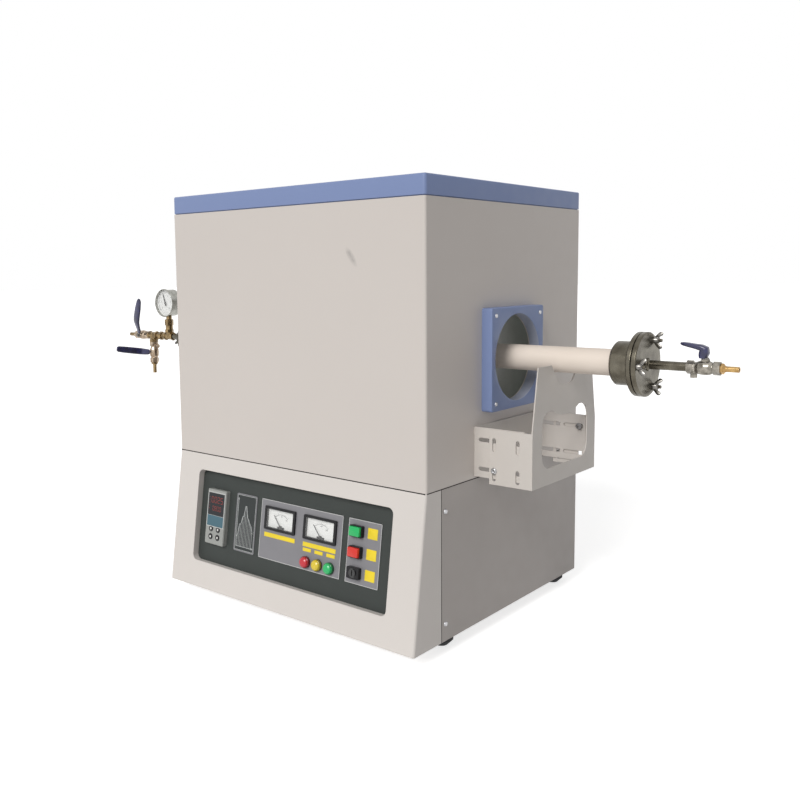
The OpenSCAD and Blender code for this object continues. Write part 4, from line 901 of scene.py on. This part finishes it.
SHORT_GRIP = [(3, 1, 6.8, 5.0, 92), (2.4, 5, 7.4, 6.4, 94), (1.4, 9.5, 7.8, 7.0, 100),
              (1.6, 13.6, 7.8, 6.2, 58), (6, 15.8, 7.6, 4.6, 22), (14, 17.2, 7.2, 3.7, 11),
              (23, 18.8, 6.6, 3.3, 10), (30.5, 20, 5.2, 2.7, 10), (34, 20.6, 2.8, 1.6, 11)]
LONG_GRIP = [(6, 1, 5.2, 2.4, 10), (12, 2.6, 6.0, 2.6, 25), (24, 9.5, 7.4, 3.2, 30),
             (35, 14.6, 8.6, 4.0, 16), (46, 16.4, 9.2, 4.0, 5), (66, 18, 8.8, 3.6, 4),
             (84, 19.4, 6.6, 2.8, 4), (89.5, 19.8, 3.0, 1.5, 4)]
DRAIN_GRIP = [(5, 1, 5.6, 2.4, 10), (8, 3, 6.4, 2.8, 50), (12, 11, 7.0, 3.2, 55),
              (19, 16, 7.4, 3.6, 18), (34, 18, 7.4, 3.4, 5), (58, 19.4, 7.2, 3.2, 3),
              (74, 20.2, 6.6, 2.9, 3), (78, 20.4, 4.8, 1.8, 3)]
LEAN, RISE = radians(22), radians(9)  # of the in-line grip from upright, of the drain grip from level
lever("lever_right", SHORT_GRIP, (584.38, -8, 449.2), (-1, 0, 0), (0, 0, 1))
lever("lever_left_end", LONG_GRIP, (-684.38, -20.2, 437), (sin(LEAN), 0, cos(LEAN)), (0, -1, 0))
lever("lever_left_drain", DRAIN_GRIP, (-657.2, -8, 397.62), (0, -cos(RISE), sin(RISE)), (-1, 0, 0))

# %% [markdown]
# ## Saddle bolts
# One bolt clamps each arm: low on the front arm, high on the rear one. The head, a low dome with a
# round recess, and the shank come from one turned profile. A hexagon nut sits behind the sheet.

# %% Saddle bolts
# Where the bolts stand: x from the middle of the furnace, front or rear arm, height.
BOLTS = ((311.5, -1, 273), (351.5, 1, 318))
ARM_Y = 103 * MM
BOLT = [(0, 1), (2.4, 1), (2.4, 2.9), (3.4, 3.1), (4.3, 2.5), (4.6, 1.2), (5, 1.1), (5, 0), (2.8, 0),
        (2.8, -9.4), (0, -9.4)]
for side, tag in ((1, "right"), (-1, "left")):
    bolts = bmesh.new()
    for x, arm, z in BOLTS:
        face = Matrix.Translation((side * x * MM, TUBE_Y + arm * ARM_Y, z * MM))
        place = face @ Matrix.Rotation(-arm * pi / 2, 4, "X")
        tinted(bolts, turned(BOLT, 30), 0, place)
        disc(bolts, 5.6, 4.2, lifted(place, -9), 0, 6, 0.5)
    piece("bolts_" + tag + "_set", bolts, zinc_steel, body="bolts_" + tag,
          stands_for=["saddle_bolts_" + tag], crease=25)

# %% [markdown]
# ## Pressure gauge
# The case is turned: a cup with a rolled bezel. Behind the clear window lies a white dial with ticks
# all round a three-quarter circle and a few figures. A brass stem with a hexagon carries the case.

# %% Gauge
gauge_rim = metal("gauge bezel", (0.45, 0.45, 0.42), (0.28, 0.275, 0.245), 0.28, 120, 500, 0.2, 0.0)
GAUGE_X, BEZEL_Y, BEZEL_Z, FOOT_Z = -588 * MM, -21.5 * MM, 511 * MM, 452 * MM
CUP = [(0, -27), (28.5, -27), (29.6, -26), (29.6, -4.5), (31, -3.6), (31, -0.9), (30.4, 0), (29.4, 0),
       (29, -0.6), (29, -6.1), (0, -6.1)]
STEM = [(0, 0), (8, 0), (8, 9), (6.2, 9.6), (6.2, 30), (0, 30)]
DIAL_DEPTH, DIAL_T, SCALE_R, SCALE_END, TICK_COUNT = -6.1, 0.3, 24.4, 135, 50
bezel = Matrix.Translation((GAUGE_X, BEZEL_Y, BEZEL_Z)) @ Matrix.Rotation(pi / 2, 4, "X")
foot = Matrix.Translation((GAUGE_X, TUBE_Y, FOOT_Z))
gauge = bmesh.new()
tinted(gauge, turned(CUP, 72), 0, bezel)
tinted(gauge, turned(STEM, 32), 1, foot)
disc(gauge, 9.6, 13.0, lifted(foot, 9.5), 1, 6, 0.7)
piece("gauge_body", gauge, [gauge_rim, aged_brass], body="end_left", stands_for=["gauge_case"],
      crease=25)

dial = bmesh.new()
disc(dial, 28.8, DIAL_T, lifted(bezel, DIAL_DEPTH), 0, 72)
ground = lifted(bezel, DIAL_DEPTH + DIAL_T)
arc_line(dial, SCALE_R, 0.4, 0.1, -SCALE_END, SCALE_END, ground, 1, 90)
for i in range(TICK_COUNT + 1):
    angle = SCALE_END * (2 * i / TICK_COUNT - 1)
    inner, width = (20.6, 0.5) if i % 5 == 0 else (22.6, 0.25)
    stroke(dial, clock(angle, SCALE_R), clock(angle, inner), width, 0.1, ground, 1)
for i in range(6):
    written(dial, str(2 * i), 3.2, 0.1, ground @ at(clock(SCALE_END * (i / 2.5 - 1), 16.4)), 1)
piece("gauge_dial", dial, [dial_white, ink], body="end_left")
pane = bmesh.new()
disc(pane, 28.9, 0.9, lifted(bezel, -1.9), 0, 72)
piece("gauge_window", pane, clear, body="end_left")
